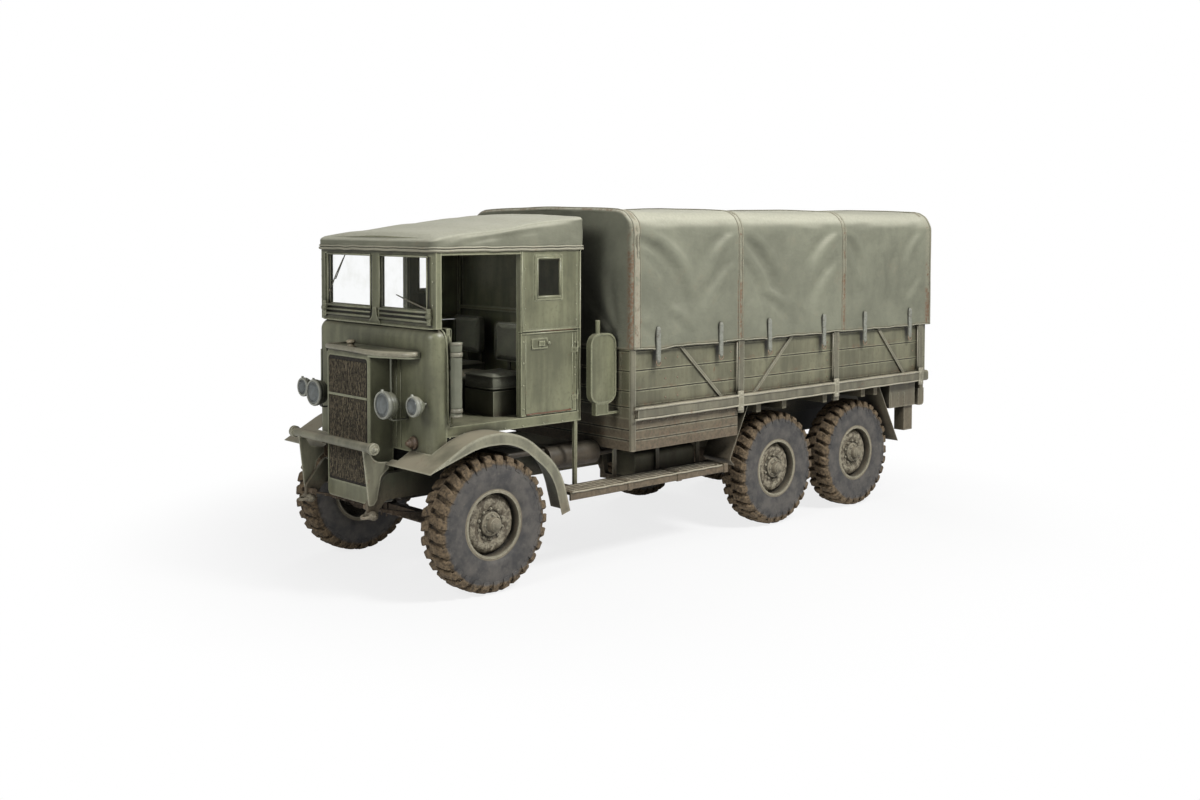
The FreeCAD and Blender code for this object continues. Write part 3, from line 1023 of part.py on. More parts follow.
# ---- steering knuckles and track rod -----------------------------------------------------------
def knuckle(name):
    ears = [rod(f"{name}_ear_{label}", "Z", "king_half", "front_axle", low, "yoke_radius", "yoke_ear")
            for label, low in (("low", "yoke_low"), ("high", "yoke_high - yoke_ear"))]
    links = [box(f"{name}_link_{label}", "king_half", "front_axle - 34", low, "45", "68", "yoke_ear")
             for label, low in (("low", "yoke_low"), ("high", "yoke_high - yoke_ear"))]
    pin = rod(name + "_pin", "Z", "king_half", "front_axle", "yoke_low + 5", "king_pin",
              "yoke_high - yoke_low - 10")
    plate = box(name + "_plate", "king_half + 40", "front_axle - 45", "yoke_low", "18", "90",
                "yoke_high - yoke_low")
    shoulder = rod(name + "_shoulder", "X", "king_half + 50", "front_axle", "axle_height", "spindle + 14",
                   "front_half_track - 62 - king_half - 50")
    stub = rod(name + "_stub", "X", "king_half + 50", "front_axle", "axle_height", "spindle",
               "front_half_track + 85 - king_half - 50")
    arm = slab(name + "_arm", "XY", "yoke_low", "22", [
        ("king_half + 20", "front_axle"), ("king_half + 24", "front_axle + arm_reach + 24", "22"),
        ("king_half - 24", "front_axle + arm_reach + 24", "22"), ("king_half - 33", "front_axle")])
    tie_pin = rod(name + "_tie_pin", "Z", "king_half", "front_axle + arm_reach", "tie_low - 4", "tie_pin",
                  "yoke_low - tie_low + 10")
    drum = put(spun(name + "_drum", "X", [
        ("king_half + 52", "0"), ("king_half + 52", "front_drum_radius + 8"),
        ("king_half + 64", "front_drum_radius + 8"), ("king_half + 64", "front_drum_radius"),
        ("king_half + 42 + front_drum_long", "front_drum_radius"),
        ("king_half + 52 + front_drum_long", "front_drum_radius - 12"),
        ("king_half + 52 + front_drum_long", "0")]),
        "0", "front_axle", "axle_height")
    return [*ears, *links, pin, plate, shoulder, stub, arm, tie_pin, drum]


fuse("knuckle_left", *knuckle("near_knuckle"))
group("knuckle_right", opposite(fuse("far_knuckle_pattern", *knuckle("far_knuckle"))))

tie_bar = rod("tie_bar", "X", "-king_half", "front_axle + arm_reach", "tie_low + tie_thick / 2", "tie_rod",
              "2 * king_half")
tie_end = rod("tie_end", "Z", "king_half", "front_axle + arm_reach", "tie_low", "tie_eye", "tie_thick")
tie_bore = rod("tie_bore", "Z", "king_half", "front_axle + arm_reach", "tie_low - 10",
               "tie_pin + pivot_gap", "tie_thick + 20")
cut("track_rod", fuse("tie_solid", tie_bar, tie_end, opposite(tie_end)), tie_bore, opposite(tie_bore))

# ---- wheels and tyres --------------------------------------------------------------------------
wheel_loop = [
    ("-60", "spindle + run_gap"), ("-60", "hub_radius"), ("38", "hub_radius"), ("60", "165"),
    ("6", "rim_seat - rim_wall"), ("-rim_half", "rim_seat - rim_wall"), ("-rim_half", "rim_lip"),
    ("rim_wall - rim_half", "rim_lip"), ("rim_wall - rim_half", "rim_seat"),
    ("rim_half - rim_wall", "rim_seat"),
    ("rim_half - rim_wall", "rim_lip"), ("rim_half", "rim_lip"), ("rim_half", "rim_seat - rim_wall"),
    ("20", "rim_seat - rim_wall"), ("74", "170"), ("56", "hub_radius + 22"), ("84", "hub_radius + 12", "8"),
    ("96", "hub_cap + 12"), ("hub_reach - 10", "hub_cap", "14"), ("hub_reach", "0"),
    ("90", "0"), ("90", "spindle + run_gap")]
tyre_half_loop = [
    ("rim_half - rim_wall - rest_gap", "rim_seat + rest_gap"), ("rim_half - rim_wall - rest_gap", "rim_lip"),
    ("tyre_half", "rim_lip + 70", "60"), ("tyre_half", "tyre_radius - 70", "60"),
    ("tread_half + 6", "tyre_radius", "22")]
tyre_loop = tyre_half_loop + [(f"-({corner[0]})",) + corner[1:] for corner in reversed(tyre_half_loop)]
for label, half, y in (("front", "front_half_track", "front_axle"), ("mid", "rear_half_track", "mid_axle"),
                       ("rear", "rear_half_track", "rear_axle")):
    for side_name, sign, turn in (("left", "", 0), ("right", "-", 180)):
        for kind, loop in (("wheel", wheel_loop), ("tyre", tyre_loop)):
            piece = spun(f"{kind}_{label}_{side_name}", "X", loop)
            piece.Placement = Placement(Vector(), Rotation(Vector(0, 0, 1), turn))
            put(piece, f"{sign}{half}", y, "axle_height")

# ---- the sub-parts -----------------------------------------------------------------------------
NODES = """chassis_frame front_bumper radiator_shell radiator_core cab_cowl bonnet_brow windscreen_frame
windscreen_glass cab_floor cab_rear_shell cab_door_left cab_door_right roof_frame cab_roof door_curtains
cab_boxes seat_cushions seat_backs steering_column steering_wheel front_wings running_boards lamps
cargo_floor body_runners body_bearers side_planks side_framing headboard skirt_panels tilt_hoops
tilt_canvas tilt_straps tailgate gate_hinges bogie_mudguards tail_fittings fuel_tank side_tank
powertrain exhaust axles leaf_springs knuckle_left knuckle_right track_rod
wheel_front_left wheel_front_right wheel_mid_left wheel_mid_right wheel_rear_left wheel_rear_right
tyre_front_left tyre_front_right tyre_mid_left tyre_mid_right tyre_rear_left tyre_rear_right""".split()

doc.recompute()
for item in doc.Objects:
    if {"Invalid", "Error"} & set(item.State):
        raise RuntimeError(f"{item.Name} did not build: {item.State}")
    shape = getattr(item, "Shape", None)
    drawn = shape is not None and not item.isDerivedFrom("Sketcher::SketchObject")
    if drawn and item.isDerivedFrom("Part::Feature") and (shape.isNull() or not shape.isValid()):
        raise RuntimeError(f"{item.Name} has no valid shape")

os.makedirs("parts", exist_ok=True)
for node in NODES:
    piece = doc.getObject(node)
    piece.Label = node
    piece.Shape.exportStep(f"parts/{node}.step")
    print(node, len(piece.Shape.Solids), round(piece.Shape.Volume / 1e6, 2))
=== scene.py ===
import math
import random

import bmesh
import bpy
from mathutils import Matrix, Vector, noise


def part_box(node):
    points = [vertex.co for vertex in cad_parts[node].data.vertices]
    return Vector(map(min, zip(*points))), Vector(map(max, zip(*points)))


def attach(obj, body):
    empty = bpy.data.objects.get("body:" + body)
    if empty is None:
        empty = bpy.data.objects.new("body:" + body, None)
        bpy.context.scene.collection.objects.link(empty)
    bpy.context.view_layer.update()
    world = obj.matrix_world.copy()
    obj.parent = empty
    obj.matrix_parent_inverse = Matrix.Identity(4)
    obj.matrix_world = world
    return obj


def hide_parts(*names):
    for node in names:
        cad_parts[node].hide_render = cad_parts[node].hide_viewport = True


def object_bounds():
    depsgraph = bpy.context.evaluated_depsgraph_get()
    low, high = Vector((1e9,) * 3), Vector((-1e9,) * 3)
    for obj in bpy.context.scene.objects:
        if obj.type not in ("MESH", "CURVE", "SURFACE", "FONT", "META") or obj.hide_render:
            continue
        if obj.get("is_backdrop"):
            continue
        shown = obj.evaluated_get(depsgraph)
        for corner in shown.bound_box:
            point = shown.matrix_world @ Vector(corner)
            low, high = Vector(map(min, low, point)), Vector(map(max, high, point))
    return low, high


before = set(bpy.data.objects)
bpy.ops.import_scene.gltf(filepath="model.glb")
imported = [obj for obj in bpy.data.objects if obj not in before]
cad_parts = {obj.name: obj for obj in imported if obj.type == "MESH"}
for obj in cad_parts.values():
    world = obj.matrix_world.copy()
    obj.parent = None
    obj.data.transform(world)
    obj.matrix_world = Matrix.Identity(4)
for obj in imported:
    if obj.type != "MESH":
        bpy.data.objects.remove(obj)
cad_low, cad_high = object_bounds()

# ---- chassis frame -----------------------------------------------------------------------------
# Two pressed channel rails with dumb irons at the front and tubes across, riveted up and painted.
# The paint is a matt olive that road mud has baked onto, so little of it is still clean.


class Wire:
    """A socket of one material. Sums on it add the nodes that work them out."""

    def __init__(self, tree, socket=None):
        self.tree = tree
        self.socket = socket

    def node(self, kind, settings=None, feeds=None, out=0):
        made = self.tree.nodes.new("ShaderNode" + kind)
        for name, value in (settings or {}).items():
            setattr(made, name, value)
        for name, value in (feeds or {}).items():
            if isinstance(value, Wire):
                self.tree.links.new(value.socket, made.inputs[name])
            else:
                made.inputs[name].default_value = value
        return Wire(self.tree, made.outputs[out])

    def sum(self, operation, first, second):
        return self.node("Math", {"operation": operation}, {0: first, 1: second})

    def __add__(self, other):
        return self.sum("ADD", self, other)

    def __radd__(self, other):
        return self.sum("ADD", other, self)

    def __sub__(self, other):
        return self.sum("SUBTRACT", self, other)

    def __rsub__(self, other):
        return self.sum("SUBTRACT", other, self)

    def __mul__(self, other):
        return self.sum("MULTIPLY", self, other)

    def __rmul__(self, other):
        return self.sum("MULTIPLY", other, self)

    def step(self, low, high):
        """0 below low and 1 above high, smooth between. High may be the lower of the two."""
        return self.node("MapRange", {"interpolation_type": "SMOOTHSTEP"},
                         {"Value": self, "From Min": low, "From Max": high})

    def tint(self, under, over):
        """The colour under, covered by the colour over where this mask is 1."""
        under, over = (c if isinstance(c, Wire) else (*c, 1) for c in (under, over))
        return self.node("Mix", {"data_type": "RGBA"}, {0: self, 6: under, 7: over}, 2)

    def cloud(self, scale, detail=3, rough=0.55, stretch=(1, 1, 1)):
        """Soft noise over the surface, in cycles a metre, finer along the axes that are stretched."""
        place = self.node("TexCoord", out="Object")
        spread = self.node("VectorMath", {"operation": "MULTIPLY"}, {0: place, 1: stretch})
        feeds = {"Vector": spread, "Scale": scale, "Detail": detail, "Roughness": rough}
        return self.node("TexNoise", None, feeds)

    def height(self):
        return self.node("SeparateXYZ", None, {0: self.node("TexCoord", out="Object")}, "Z")

    def facing_up(self):
        return self.node("SeparateXYZ", None, {0: self.node("NewGeometry", out="Normal")}, "Z")

    def edge(self, radius):
        """1 on a sharp edge, from how far a rounded normal leaves the true one."""
        turned = self.node("Bevel", {"samples": 4}, {"Radius": radius})
        true = self.node("NewGeometry", out="Normal")
        return 1 - self.node("VectorMath", {"operation": "DOT_PRODUCT"}, {0: turned, 1: true}, "Value")

    def corner(self, reach):
        """1 in a closed corner, 0 in the open."""
        return 1 - self.node("AmbientOcclusion", {"samples": 6}, {"Distance": reach}, "AO")


def new_material(name):
    """An empty material: a wire to start its sums from, and its surface's shader to end them in."""
    material = bpy.data.materials.new(name)
    material.use_nodes = True
    return material, Wire(material.node_tree), material.node_tree.nodes["Principled BSDF"]


def feed(shader, name, value):
    """Joins a wire to the shader, or sets the shader's own socket."""
    if isinstance(value, Wire):
        value.tree.links.new(value.socket, shader.inputs[name])
    else:
        shader.inputs[name].default_value = value


def emboss(shader, height, strength, deep):
    """Raises the surface by a wire's height, this deep at most."""
    bump = height.node("Bump", None, {"Height": height, "Strength": strength, "Distance": deep})
    feed(shader, "Normal", bump)


DUST = (0.30, 0.265, 0.19)
MUD = (0.135, 0.098, 0.062)
RUST = (0.16, 0.052, 0.018)


def olive_paint(name, tone, dust=0.35, mud=0.0, mud_top=1.0, edge_wear_and_highlight=0.5, rust=0.25, edge=0.007, bump=0.25):
    """Matt brushed paint: cloudy, dusty where it faces up, worn pale with a painted highlight on edges, muddy
    low down, painted shade in corners and hollows.
    """
    material, wire, shader = new_material(name)
    broad = wire.cloud(2.6, 4)
    fleck = wire.cloud(34, 4, 0.65)
    grain = wire.cloud(240, 2)
    runs = wire.cloud(9, 3, 0.6, (1, 1, 0.16))
    closed = wire.corner(0.06).step(0.08, 0.60)
    hollow_painted_shade = wire.corner(0.80).step(0.42, 0.82)
    sharp = wire.edge(edge * 2.4).step(0.006, 0.10) * (0.35 + fleck.step(0.30, 0.52) * 0.65)
    weathered = (broad * 0.5 + runs * 0.5).step(0.37, 0.63)
    colour = weathered.tint([c * 0.68 for c in tone], [c * 1.22 for c in tone])
    colour = (fleck.step(0.50, 0.74) * 0.5).tint(colour, [c * 0.55 for c in tone])
    # Painted shade: tight corners are darkened to a tenth of the tone. The same corner mask also lays real mud
    # below.
    colour = (closed * 0.9).tint(colour, [c * 0.10 for c in tone])
    lying = wire.facing_up().step(0.35, 0.95) * broad.step(0.25, 0.62)
    colour = (lying * dust).tint(colour, DUST)
    colour = (closed * wire.cloud(11, 4).step(0.46, 0.62) * dust).tint(colour, MUD)
    # Pale edges: partly worn paint and partly a painted highlight along every sharp edge.
    colour = (sharp * edge_wear_and_highlight).tint(colour, [min(0.62, c * 1.9 + 0.06) for c in tone])
    worn = wire.cloud(5.5, 5, 0.72).step(0.60, 0.70) * fleck.step(0.50, 0.60)
    colour = (worn * rust).tint(colour, RUST)
    low = wire.height().step(mud_top, mud_top - 0.55)
    caked = low * (wire.cloud(7, 5, 0.66) + low * 0.35).step(0.42, 0.66)
    dried = fleck.step(0.3, 0.7).tint([c * 0.62 for c in MUD], [c * 1.35 for c in MUD])
    colour = (caked * mud).tint(colour, dried)
    # Painted shade: deep hollows, such as the inside of the cab, are darkened nearly to black.
    colour = (hollow_painted_shade * 0.93).tint(colour, [c * 0.07 for c in tone])
    feed(shader, "Base Color", colour)
    feed(shader, "Roughness", 0.40 + lying * 0.25 + caked * 0.28 - sharp * 0.12)
    relief = fleck * 0.35 + grain * 0.12 + caked * wire.cloud(60, 5, 0.7) * 2.4
    emboss(shader, relief, bump, 0.004)
    return material


def coat(material, *names):
    """Paints CAD nodes as they are."""
    for name in names:
        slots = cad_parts[name].data.materials
        slots.clear()
        slots.append(material)


OLIVE = (0.168, 0.170, 0.103)
chassis_paint = olive_paint("chassis_paint", (0.105, 0.108, 0.072), 0.5, 0.85, 1.05, 0.35, 0.5)
coat(chassis_paint, "chassis_frame")

# ---- springs, axles and steering ---------------------------------------------------------------
# Forged and cast steel: a front beam with yoked kingpins, two driving axles, and packs of leaves.
# All of it is caked in mud, with painted shade dark in the corners where parts meet.
running_gear = olive_paint("running_gear", (0.088, 0.086, 0.062), 0.55, 1.0, 1.15, 0.3, 0.6, 0.01, 0.6)
coat(running_gear, "axles", "leaf_springs", "knuckle_left", "knuckle_right", "track_rod")

# ---- engine and exhaust ------------------------------------------------------------------------
# The cast engine and gearbox hang between the rails, painted like the frame. The silencer is
# rolled sheet and its pipe a bent tube, both brown with scale.
coat(olive_paint("engine_paint", (0.075, 0.078, 0.058), 0.3, 0.7, 1.0, 0.3, 0.5, 0.01, 0.5), "powertrain")
coat(olive_paint("exhaust_scale", (0.085, 0.070, 0.048), 0.5, 0.8, 1.1, 0.5, 0.5, 0.01, 0.8), "exhaust")

# ---- wheels ------------------------------------------------------------------------------------
# Pressed steel discs, riveted into a flat-based rim and held to the hub by a ring of nuts.
# Mud packs into the dish round the nuts and dries in blotches.
WHEELS = [(end, side) for end in ("front", "mid", "rear") for side in ("left", "right")]
# Each ring of nuts: how many, the first one's place, its seat, its radius, and a nut's width and height.
NUT_RINGS = ((10, 0.5, 0.0595, 0.118, 0.026, 0.018), (8, 0, 0.0955, 0.073, 0.013, 0.010))
RIM_BEADS = ((0.1140, 0.2955, 0.0055), (0.1120, 0.2620, 0.0045), (0.0100, 0.2450, 0.0040))
wheel_paint = olive_paint("wheel_paint", (0.330, 0.300, 0.215), 0.35, 0.45, 1.25, 1.0, 0.45, 0.010, 1.0)
MUD_PROFILE = [(0.052, 0.098), (0.061, 0.108), (0.066, 0.135), (0.073, 0.158), (0.076, 0.180), (0.070, 0.202),
               (0.055, 0.220), (0.040, 0.234), (0.026, 0.245)]
HUB_CAP = [(0.140, 0.047), (0.146, 0.047), (0.153, 0.040), (0.156, 0.030), (0.160, 0.029), (0.168, 0.022),
           (0.172, 0.012), (0.1725, 0)]
MUD_LUMPS = 0.0075


def dried_mud():
    """Mud dried pale on the high spots, with the wheel's olive showing through it in patches, and painted shade
    in its tight hollows.
    """
    material, wire, shader = new_material("packed_mud")
    blotch, fleck = wire.cloud(17, 4, 0.7), wire.cloud(60, 4, 0.7)
    colour = blotch.step(0.40, 0.60).tint((0.110, 0.090, 0.060), (0.340, 0.305, 0.220))
    colour = (fleck.step(0.50, 0.64) * 0.7).tint(colour, (0.060, 0.046, 0.030))
    # Painted shade: tight hollows in the mud are darkened nearly to black.
    colour = (wire.corner(0.035).step(0.12, 0.7) * 0.9).tint(colour, (0.020, 0.017, 0.012))
    feed(shader, "Base Color", colour)
    feed(shader, "Roughness", 0.75 - fleck * 0.25)
    emboss(shader, blotch * 2 + fleck, 0.8, 0.012)
    return material


packed_mud = dried_mud()
hub_paint = olive_paint("hub_paint", (0.290, 0.275, 0.200), 0.5, 0.40, 1.2, 1.2, 0.5, 0.006, 0.7)


def piece(name, body, material, shape, smooth=True):
    """Makes an object of a bmesh, which rides on a body."""
    mesh = bpy.data.meshes.new(name)
    shape.to_mesh(mesh)
    shape.free()
    if smooth:
        mesh.polygons.foreach_set("use_smooth", [True] * len(mesh.polygons))
    mesh.materials.append(material)
    thing = bpy.data.objects.new(name, mesh)
    bpy.context.scene.collection.objects.link(thing)
    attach(thing, body)
    return thing


def turned(shape, profile, steps, place=Matrix()):
    """Adds a solid of revolution about X: the profile's points are (along, radius)."""
    rings = []
    for along, radius in profile:
        if radius < 1e-6:
            rings.append([shape.verts.new(place @ Vector((along, 0, 0)))] * steps)
            continue
        turns = (2 * math.pi * k / steps for k in range(steps))
        rings.append([shape.verts.new(place @ Vector((along, radius * math.cos(t), radius * math.sin(t))))
                      for t in turns])
    for near, far in zip(rings, rings[1:]):
        for k in range(steps):
            corners = list(dict.fromkeys((near[k], near[(k + 1) % steps], far[(k + 1) % steps], far[k])))
            if len(corners) > 2:
                shape.faces.new(corners)


def add_nut(shape, place, wide, tall):
    """Adds a hexagon nut with a rounded top on a washer, standing along the place's X."""
    washer = ((0, 0.72), (0.14, 0.72), (0.16, 0.5))
    hexagon = ((0.1, 0.56), (0.78, 0.56), (1, 0.4), (1, 0))
    stud = ((1, 0.27), (1.35, 0.24), (1.4, 0))
    for profile, steps in ((washer, 16), (hexagon, 6), (stud, 10)):
        turned(shape, [(tall * along, wide * across) for along, across in profile], steps, place)


for end, side in WHEELS:
    name = f"wheel_{end}_{side}"
    low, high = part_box(name)
    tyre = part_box("tyre_" + name[6:])
    out = 1 if side == "left" else -1
    hub = Vector(((tyre[0].x + tyre[1].x) / 2, (low.y + high.y) / 2, (low.z + high.z) / 2))
    place = Matrix.Translation(hub) @ Matrix.Scale(out, 4, (1, 0, 0))
    coat(wheel_paint, name)
    nuts = bmesh.new()
    for count, first, along, radius, wide, tall in NUT_RINGS:
        for k in range(count):
            turn = 2 * math.pi * (k + first) / count
            seat = Vector((along, radius * math.cos(turn), radius * math.sin(turn)))
            add_nut(nuts, place @ Matrix.Translation(seat), wide, tall)
    for along, radius, thick in RIM_BEADS:
        turns = [2 * math.pi * n / 8 for n in range(9)]
        ring = [(along + thick * math.cos(turn), radius + thick * math.sin(turn)) for turn in turns]
        turned(nuts, ring, 72, place)
    turned(nuts, HUB_CAP, 24, place)
    bmesh.ops.recalc_face_normals(nuts, faces=nuts.faces)
    piece(f"nuts_{end}_{side}", "road_" + name, hub_paint, nuts)
    caked = bmesh.new()
    turned(caked, MUD_PROFILE, 84, place)
    for vert in caked.verts:
        lump = noise.noise(vert.co * 26) + 0.6 * noise.noise(vert.co * 60)
        vert.co.x += out * MUD_LUMPS * lump
    bmesh.ops.recalc_face_normals(caked, faces=caked.faces)
    piece(f"mud_{end}_{side}", "road_" + name, packed_mud, caked)

# ---- tyres -------------------------------------------------------------------------------------
# Cross-country covers: smooth blue-grey walls and chunky bars that run from the middle of the tread
# over the shoulder. Dried mud fills the bars, and only the walls are rubbed clean.
BARS, BAR_TALL, BAR_SHARE, BAR_SLANT, BAR_CHAMFER = 29, 0.034, 0.66, 0.34, 0.0055


def tyre_rubber():
    material, wire, shader = new_material("tyre_rubber")
    place = wire.node("TexCoord", out="Generated")
    centred = wire.node("VectorMath", {"operation": "SUBTRACT"}, {0: place, 1: (0.5, 0.5, 0.5)})
    flat = wire.node("VectorMath", {"operation": "MULTIPLY"}, {0: centred, 1: (0, 1, 1)})
    radius = wire.node("VectorMath", {"operation": "LENGTH"}, {0: flat}, "Value")
    fleck, blotch = wire.cloud(38, 5, 0.7), wire.cloud(8, 5, 0.66)
    rubber = blotch.step(0.3, 0.7).tint((0.042, 0.041, 0.041), (0.108, 0.099, 0.088))
    caked = (radius + blotch * 0.06).step(0.452, 0.478)
    mud = fleck.step(0.3, 0.68).tint([c * 0.34 for c in MUD], (0.205, 0.148, 0.086))
    colour = caked.tint(rubber, mud)
    # Painted shade: the gaps between the bars are darkened nearly to black.
    colour = (wire.corner(0.04).step(0.2, 0.8) * 0.9).tint(colour, (0.016, 0.014, 0.012))
    colour = ((1 - caked) * fleck.step(0.58, 0.72) * 0.22).tint(colour, DUST)
    feed(shader, "Base Color", colour)
    feed(shader, "Roughness", 0.62 + caked * 0.3)
    emboss(shader, caked * (fleck * 1.6 + blotch) + fleck * 0.1, 0.7, 0.006)
    return material


def tyre_shape(low, high, seed):
    """A cover turned about its axle, with bars laid across it left and right in turn."""
    middle = (low + high) / 2
    half, radius = (high.x - low.x) / 2, (high.z - low.z) / 2
    carcass = radius - BAR_TALL
    shape, bars = bmesh.new(), []
    wall = [(0.80, 0.500), (0.93, 0.540), (0.985, 0.620), (1.0, 0.715), (0.975, 0.800), (0.90, 0.880),
            (0.80, 0.925)]
    one_side = [(across * half, share * radius) for across, share in wall]
    crown = [(across * half, carcass - drop) for across, drop in ((0.62, 0.008), (0.32, 0.002), (0, 0))]
    bead = [(-0.80 * half, 0.490 * radius)]
    line = bead + [(-a, r) for a, r in one_side] + [(-a, r) for a, r in crown]
    line += [(a, r) for a, r in reversed(crown[:-1])] + [(a, r) for a, r in reversed(one_side)]
    line.append((0.80 * half, 0.490 * radius))
    turned(shape, line + line[:1], 96)
    chance = random.Random(seed)
    path = [(0.0, 1.0, 0.0), (0.28, 1.0, 0.14), (0.54, 0.998, 0.40), (0.76, 0.990, 0.70), (0.90, 0.972, 0.90),
            (0.985, 0.925, 1.0), (1.0, 0.870, 1.03), (0.985, 0.825, 1.05)]
    for side in (-1, 1):
        for bar in range(BARS):
            start = 2 * math.pi * (bar + (0.5 if side > 0 else 0)) / BARS
            rows = []
            for across, reach, along in path:
                turn = start + along * BAR_SLANT * 2 * math.pi / BARS
                wide = math.pi / BARS * BAR_SHARE * (1.08 - 0.22 * along) * chance.uniform(0.90, 1.08)
                top = reach * radius - chance.uniform(0, 0.005)
                wall_row = across > 0.95
                foot = top - 0.010 if wall_row else min(top - 0.008, carcass - 0.004)
                x = side * across * half
                inner = side * (0.016 if wall_row else 0)
                corners = ((turn - wide * 1.14, foot, x - inner), (turn - wide, top - BAR_CHAMFER, x),
                           (turn - wide * 0.82, top, x), (turn + wide * 0.82, top, x),
                           (turn + wide, top - BAR_CHAMFER, x), (turn + wide * 1.14, foot, x - inner))
                rows.append([shape.verts.new((cx, r * math.cos(t), r * math.sin(t))) for t, r, cx in corners])
            bar_faces = [shape.faces.new((near[n], near[n + 1], far[n + 1], far[n]))
                         for near, far in zip(rows, rows[1:]) for n in range(5)]
            bar_faces += [shape.faces.new(rows[0]), shape.faces.new(list(reversed(rows[-1])))]
            bars.extend(bar_faces)
    for face in shape.faces:
        face.smooth = True
    for face in bars:
        face.smooth = False
    bmesh.ops.subdivide_edges(shape, edges=list({edge for face in bars for edge in face.edges}), cuts=1)
    for vert in {vert for face in bars if face.is_valid for vert in face.verts}:
        reach = math.hypot(vert.co.y, vert.co.z)
        lump = noise.noise(vert.co * 42 + Vector((seed, 0, 0))) + 0.5 * noise.noise(vert.co * 95)
        scale = min(1 + 0.0042 * lump / reach, radius / reach)
        across = min(half, abs(vert.co.x) + 0.002 * lump) * (1 if vert.co.x > 0 else -1)
        vert.co = Vector((across, vert.co.y * scale, vert.co.z * scale))
    bmesh.ops.translate(shape, verts=shape.verts, vec=middle)
    bmesh.ops.recalc_face_normals(shape, faces=shape.faces)
    return shape


rubber = tyre_rubber()
for number, (end, side) in enumerate(WHEELS):
    name = f"tyre_{end}_{side}"
    shape = tyre_shape(*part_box(name), number)
    cover = piece(f"cover_{end}_{side}", f"road_wheel_{end}_{side}", rubber, shape, False)
    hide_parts(name)

# ---- front bumper, wings and running boards ----------------------------------------------------
# A tube across two shaped plates, swept steel wings with a turned lip, and boards on brackets.
# Boots and stones keep their upper faces tan, and their lips are worn pale with a painted highlight on them
# too.
fender_paint = olive_paint("fender_paint", (0.205, 0.198, 0.138), 0.85, 0.6, 0.95, 1.0, 0.4, 0.010)
coat(fender_paint, "front_bumper", "front_wings")
coat(olive_paint("board_paint", (0.150, 0.150, 0.100), 1.0, 0.9, 1.1, 0.9, 0.4), "running_boards")

# ---- radiator ----------------------------------------------------------------------------------
# An upright cast shell round a deep core, behind hand-bent vertical slats that stones have bruised.
# The slats are bare tan metal over a black core.
coat(olive_paint("shell_paint", OLIVE, 0.4, 0.5, 0.9, 0.9, 0.35, 0.01), "radiator_shell")
SLATS, SLAT_PITCH, SLAT_WIDE, KINK = 32, 0.0170, 0.0040, 0.017
SLAT_FOOT, SLAT_HEAD, CROSS_BAR, BAR_HALF = 0.163, 0.094, 0.372, 0.011


def grille_core():
    material, wire, shader = new_material("grille_core")
    soot = wire.cloud(60, 4).step(0.4, 0.7)
    feed(shader, "Base Color", soot.tint((0.010, 0.009, 0.007), (0.045, 0.036, 0.024)))
    feed(shader, "Roughness", 0.9 - wire.cloud(30, 2) * 0.1)
    return material


def slat_metal():
    material, wire, shader = new_material("slat_metal")
    bruised = wire.cloud(44, 4, 0.75, (3, 1, 0.9)).step(0.36, 0.66)
    colour = bruised.tint((0.022, 0.017, 0.011), (0.260, 0.215, 0.135))
    # Painted shade: the slats are darkened nearly to black in the corners against the core.
    colour = (wire.corner(0.02).step(0.15, 0.8) * 0.85).tint(colour, (0.012, 0.010, 0.007))
    feed(shader, "Base Color", colour)
    feed(shader, "Roughness", 0.55 + wire.cloud(90, 3) * 0.3)
    emboss(shader, wire.cloud(150, 4), 0.6, 0.003)
    return material


coat(grille_core(), "radiator_core")


def skinned(shape, rings, capped=True):
    """Lays faces between closed rings of points, from each to the next, and over both ends."""
    for near, far in zip(rings, rings[1:]):
        for n in range(len(near)):
            shape.faces.new((near[n], near[(n + 1) % len(near)], far[(n + 1) % len(near)], far[n]))
    if capped:
        shape.faces.new(list(reversed(rings[0])))
        shape.faces.new(rings[-1])


core_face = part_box("radiator_core")[0].y
shell_low, shell_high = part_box("radiator_shell")
cross_bar = shell_high.z - CROSS_BAR
slats = bmesh.new()
chance = random.Random(7)
for k in range(SLATS):
    x = (k - (SLATS - 1) / 2) * SLAT_PITCH
    for low_end, high_end in ((shell_low.z + SLAT_FOOT, cross_bar - BAR_HALF),
                              (cross_bar + BAR_HALF, shell_high.z - SLAT_HEAD)):
        rows = []
        rises = int((high_end - low_end) / KINK)
        for r in range(rises + 1):
            z = low_end + (high_end - low_end) * r / rises
            sway = 0.0042 * noise.noise(Vector((k * 0.9, z * 16, 3)))
            sway += 0.0015 * noise.noise(Vector((k * 3.1, z * 60, 4)))
            swell = 0.55 + 0.5 * abs(noise.noise(Vector((k * 1.9, z * 40, 8))))
            wide = SLAT_WIDE * (swell + chance.uniform(0, 0.18))
            proud = core_face - 0.0025 - 0.0045 * abs(noise.noise(Vector((k * 2.3, z * 36, 1))))
            section = ((-wide, core_face + 0.001), (-wide * 0.4, proud), (wide * 0.4, proud + 0.001),
                       (wide, core_face + 0.001))
            rows.append([slats.verts.new((x + sway + aside, y, z)) for aside, y in section])
        skinned(slats, rows)
bmesh.ops.recalc_face_normals(slats, faces=slats.faces)
piece("grille_slats", "chassis", slat_metal(), slats, False)

# ---- cowl and brow -----------------------------------------------------------------------------
# Sheet steel wrapped round the front of the cab, with a thick pressed brow over the radiator.
# A bead covers each seam, and a flanged elbow low on the near side is closed by a plug.
cab_paint = olive_paint("cab_paint", OLIVE, 0.3, 0.30, 1.35, 1.0, 0.5, 0.009)
coat(cab_paint, "cab_cowl", "cab_floor")
coat(olive_paint("brow_paint", (0.165, 0.170, 0.110), 0.6, 0, 0, 1.3, 0.6, 0.016), "bonnet_brow")


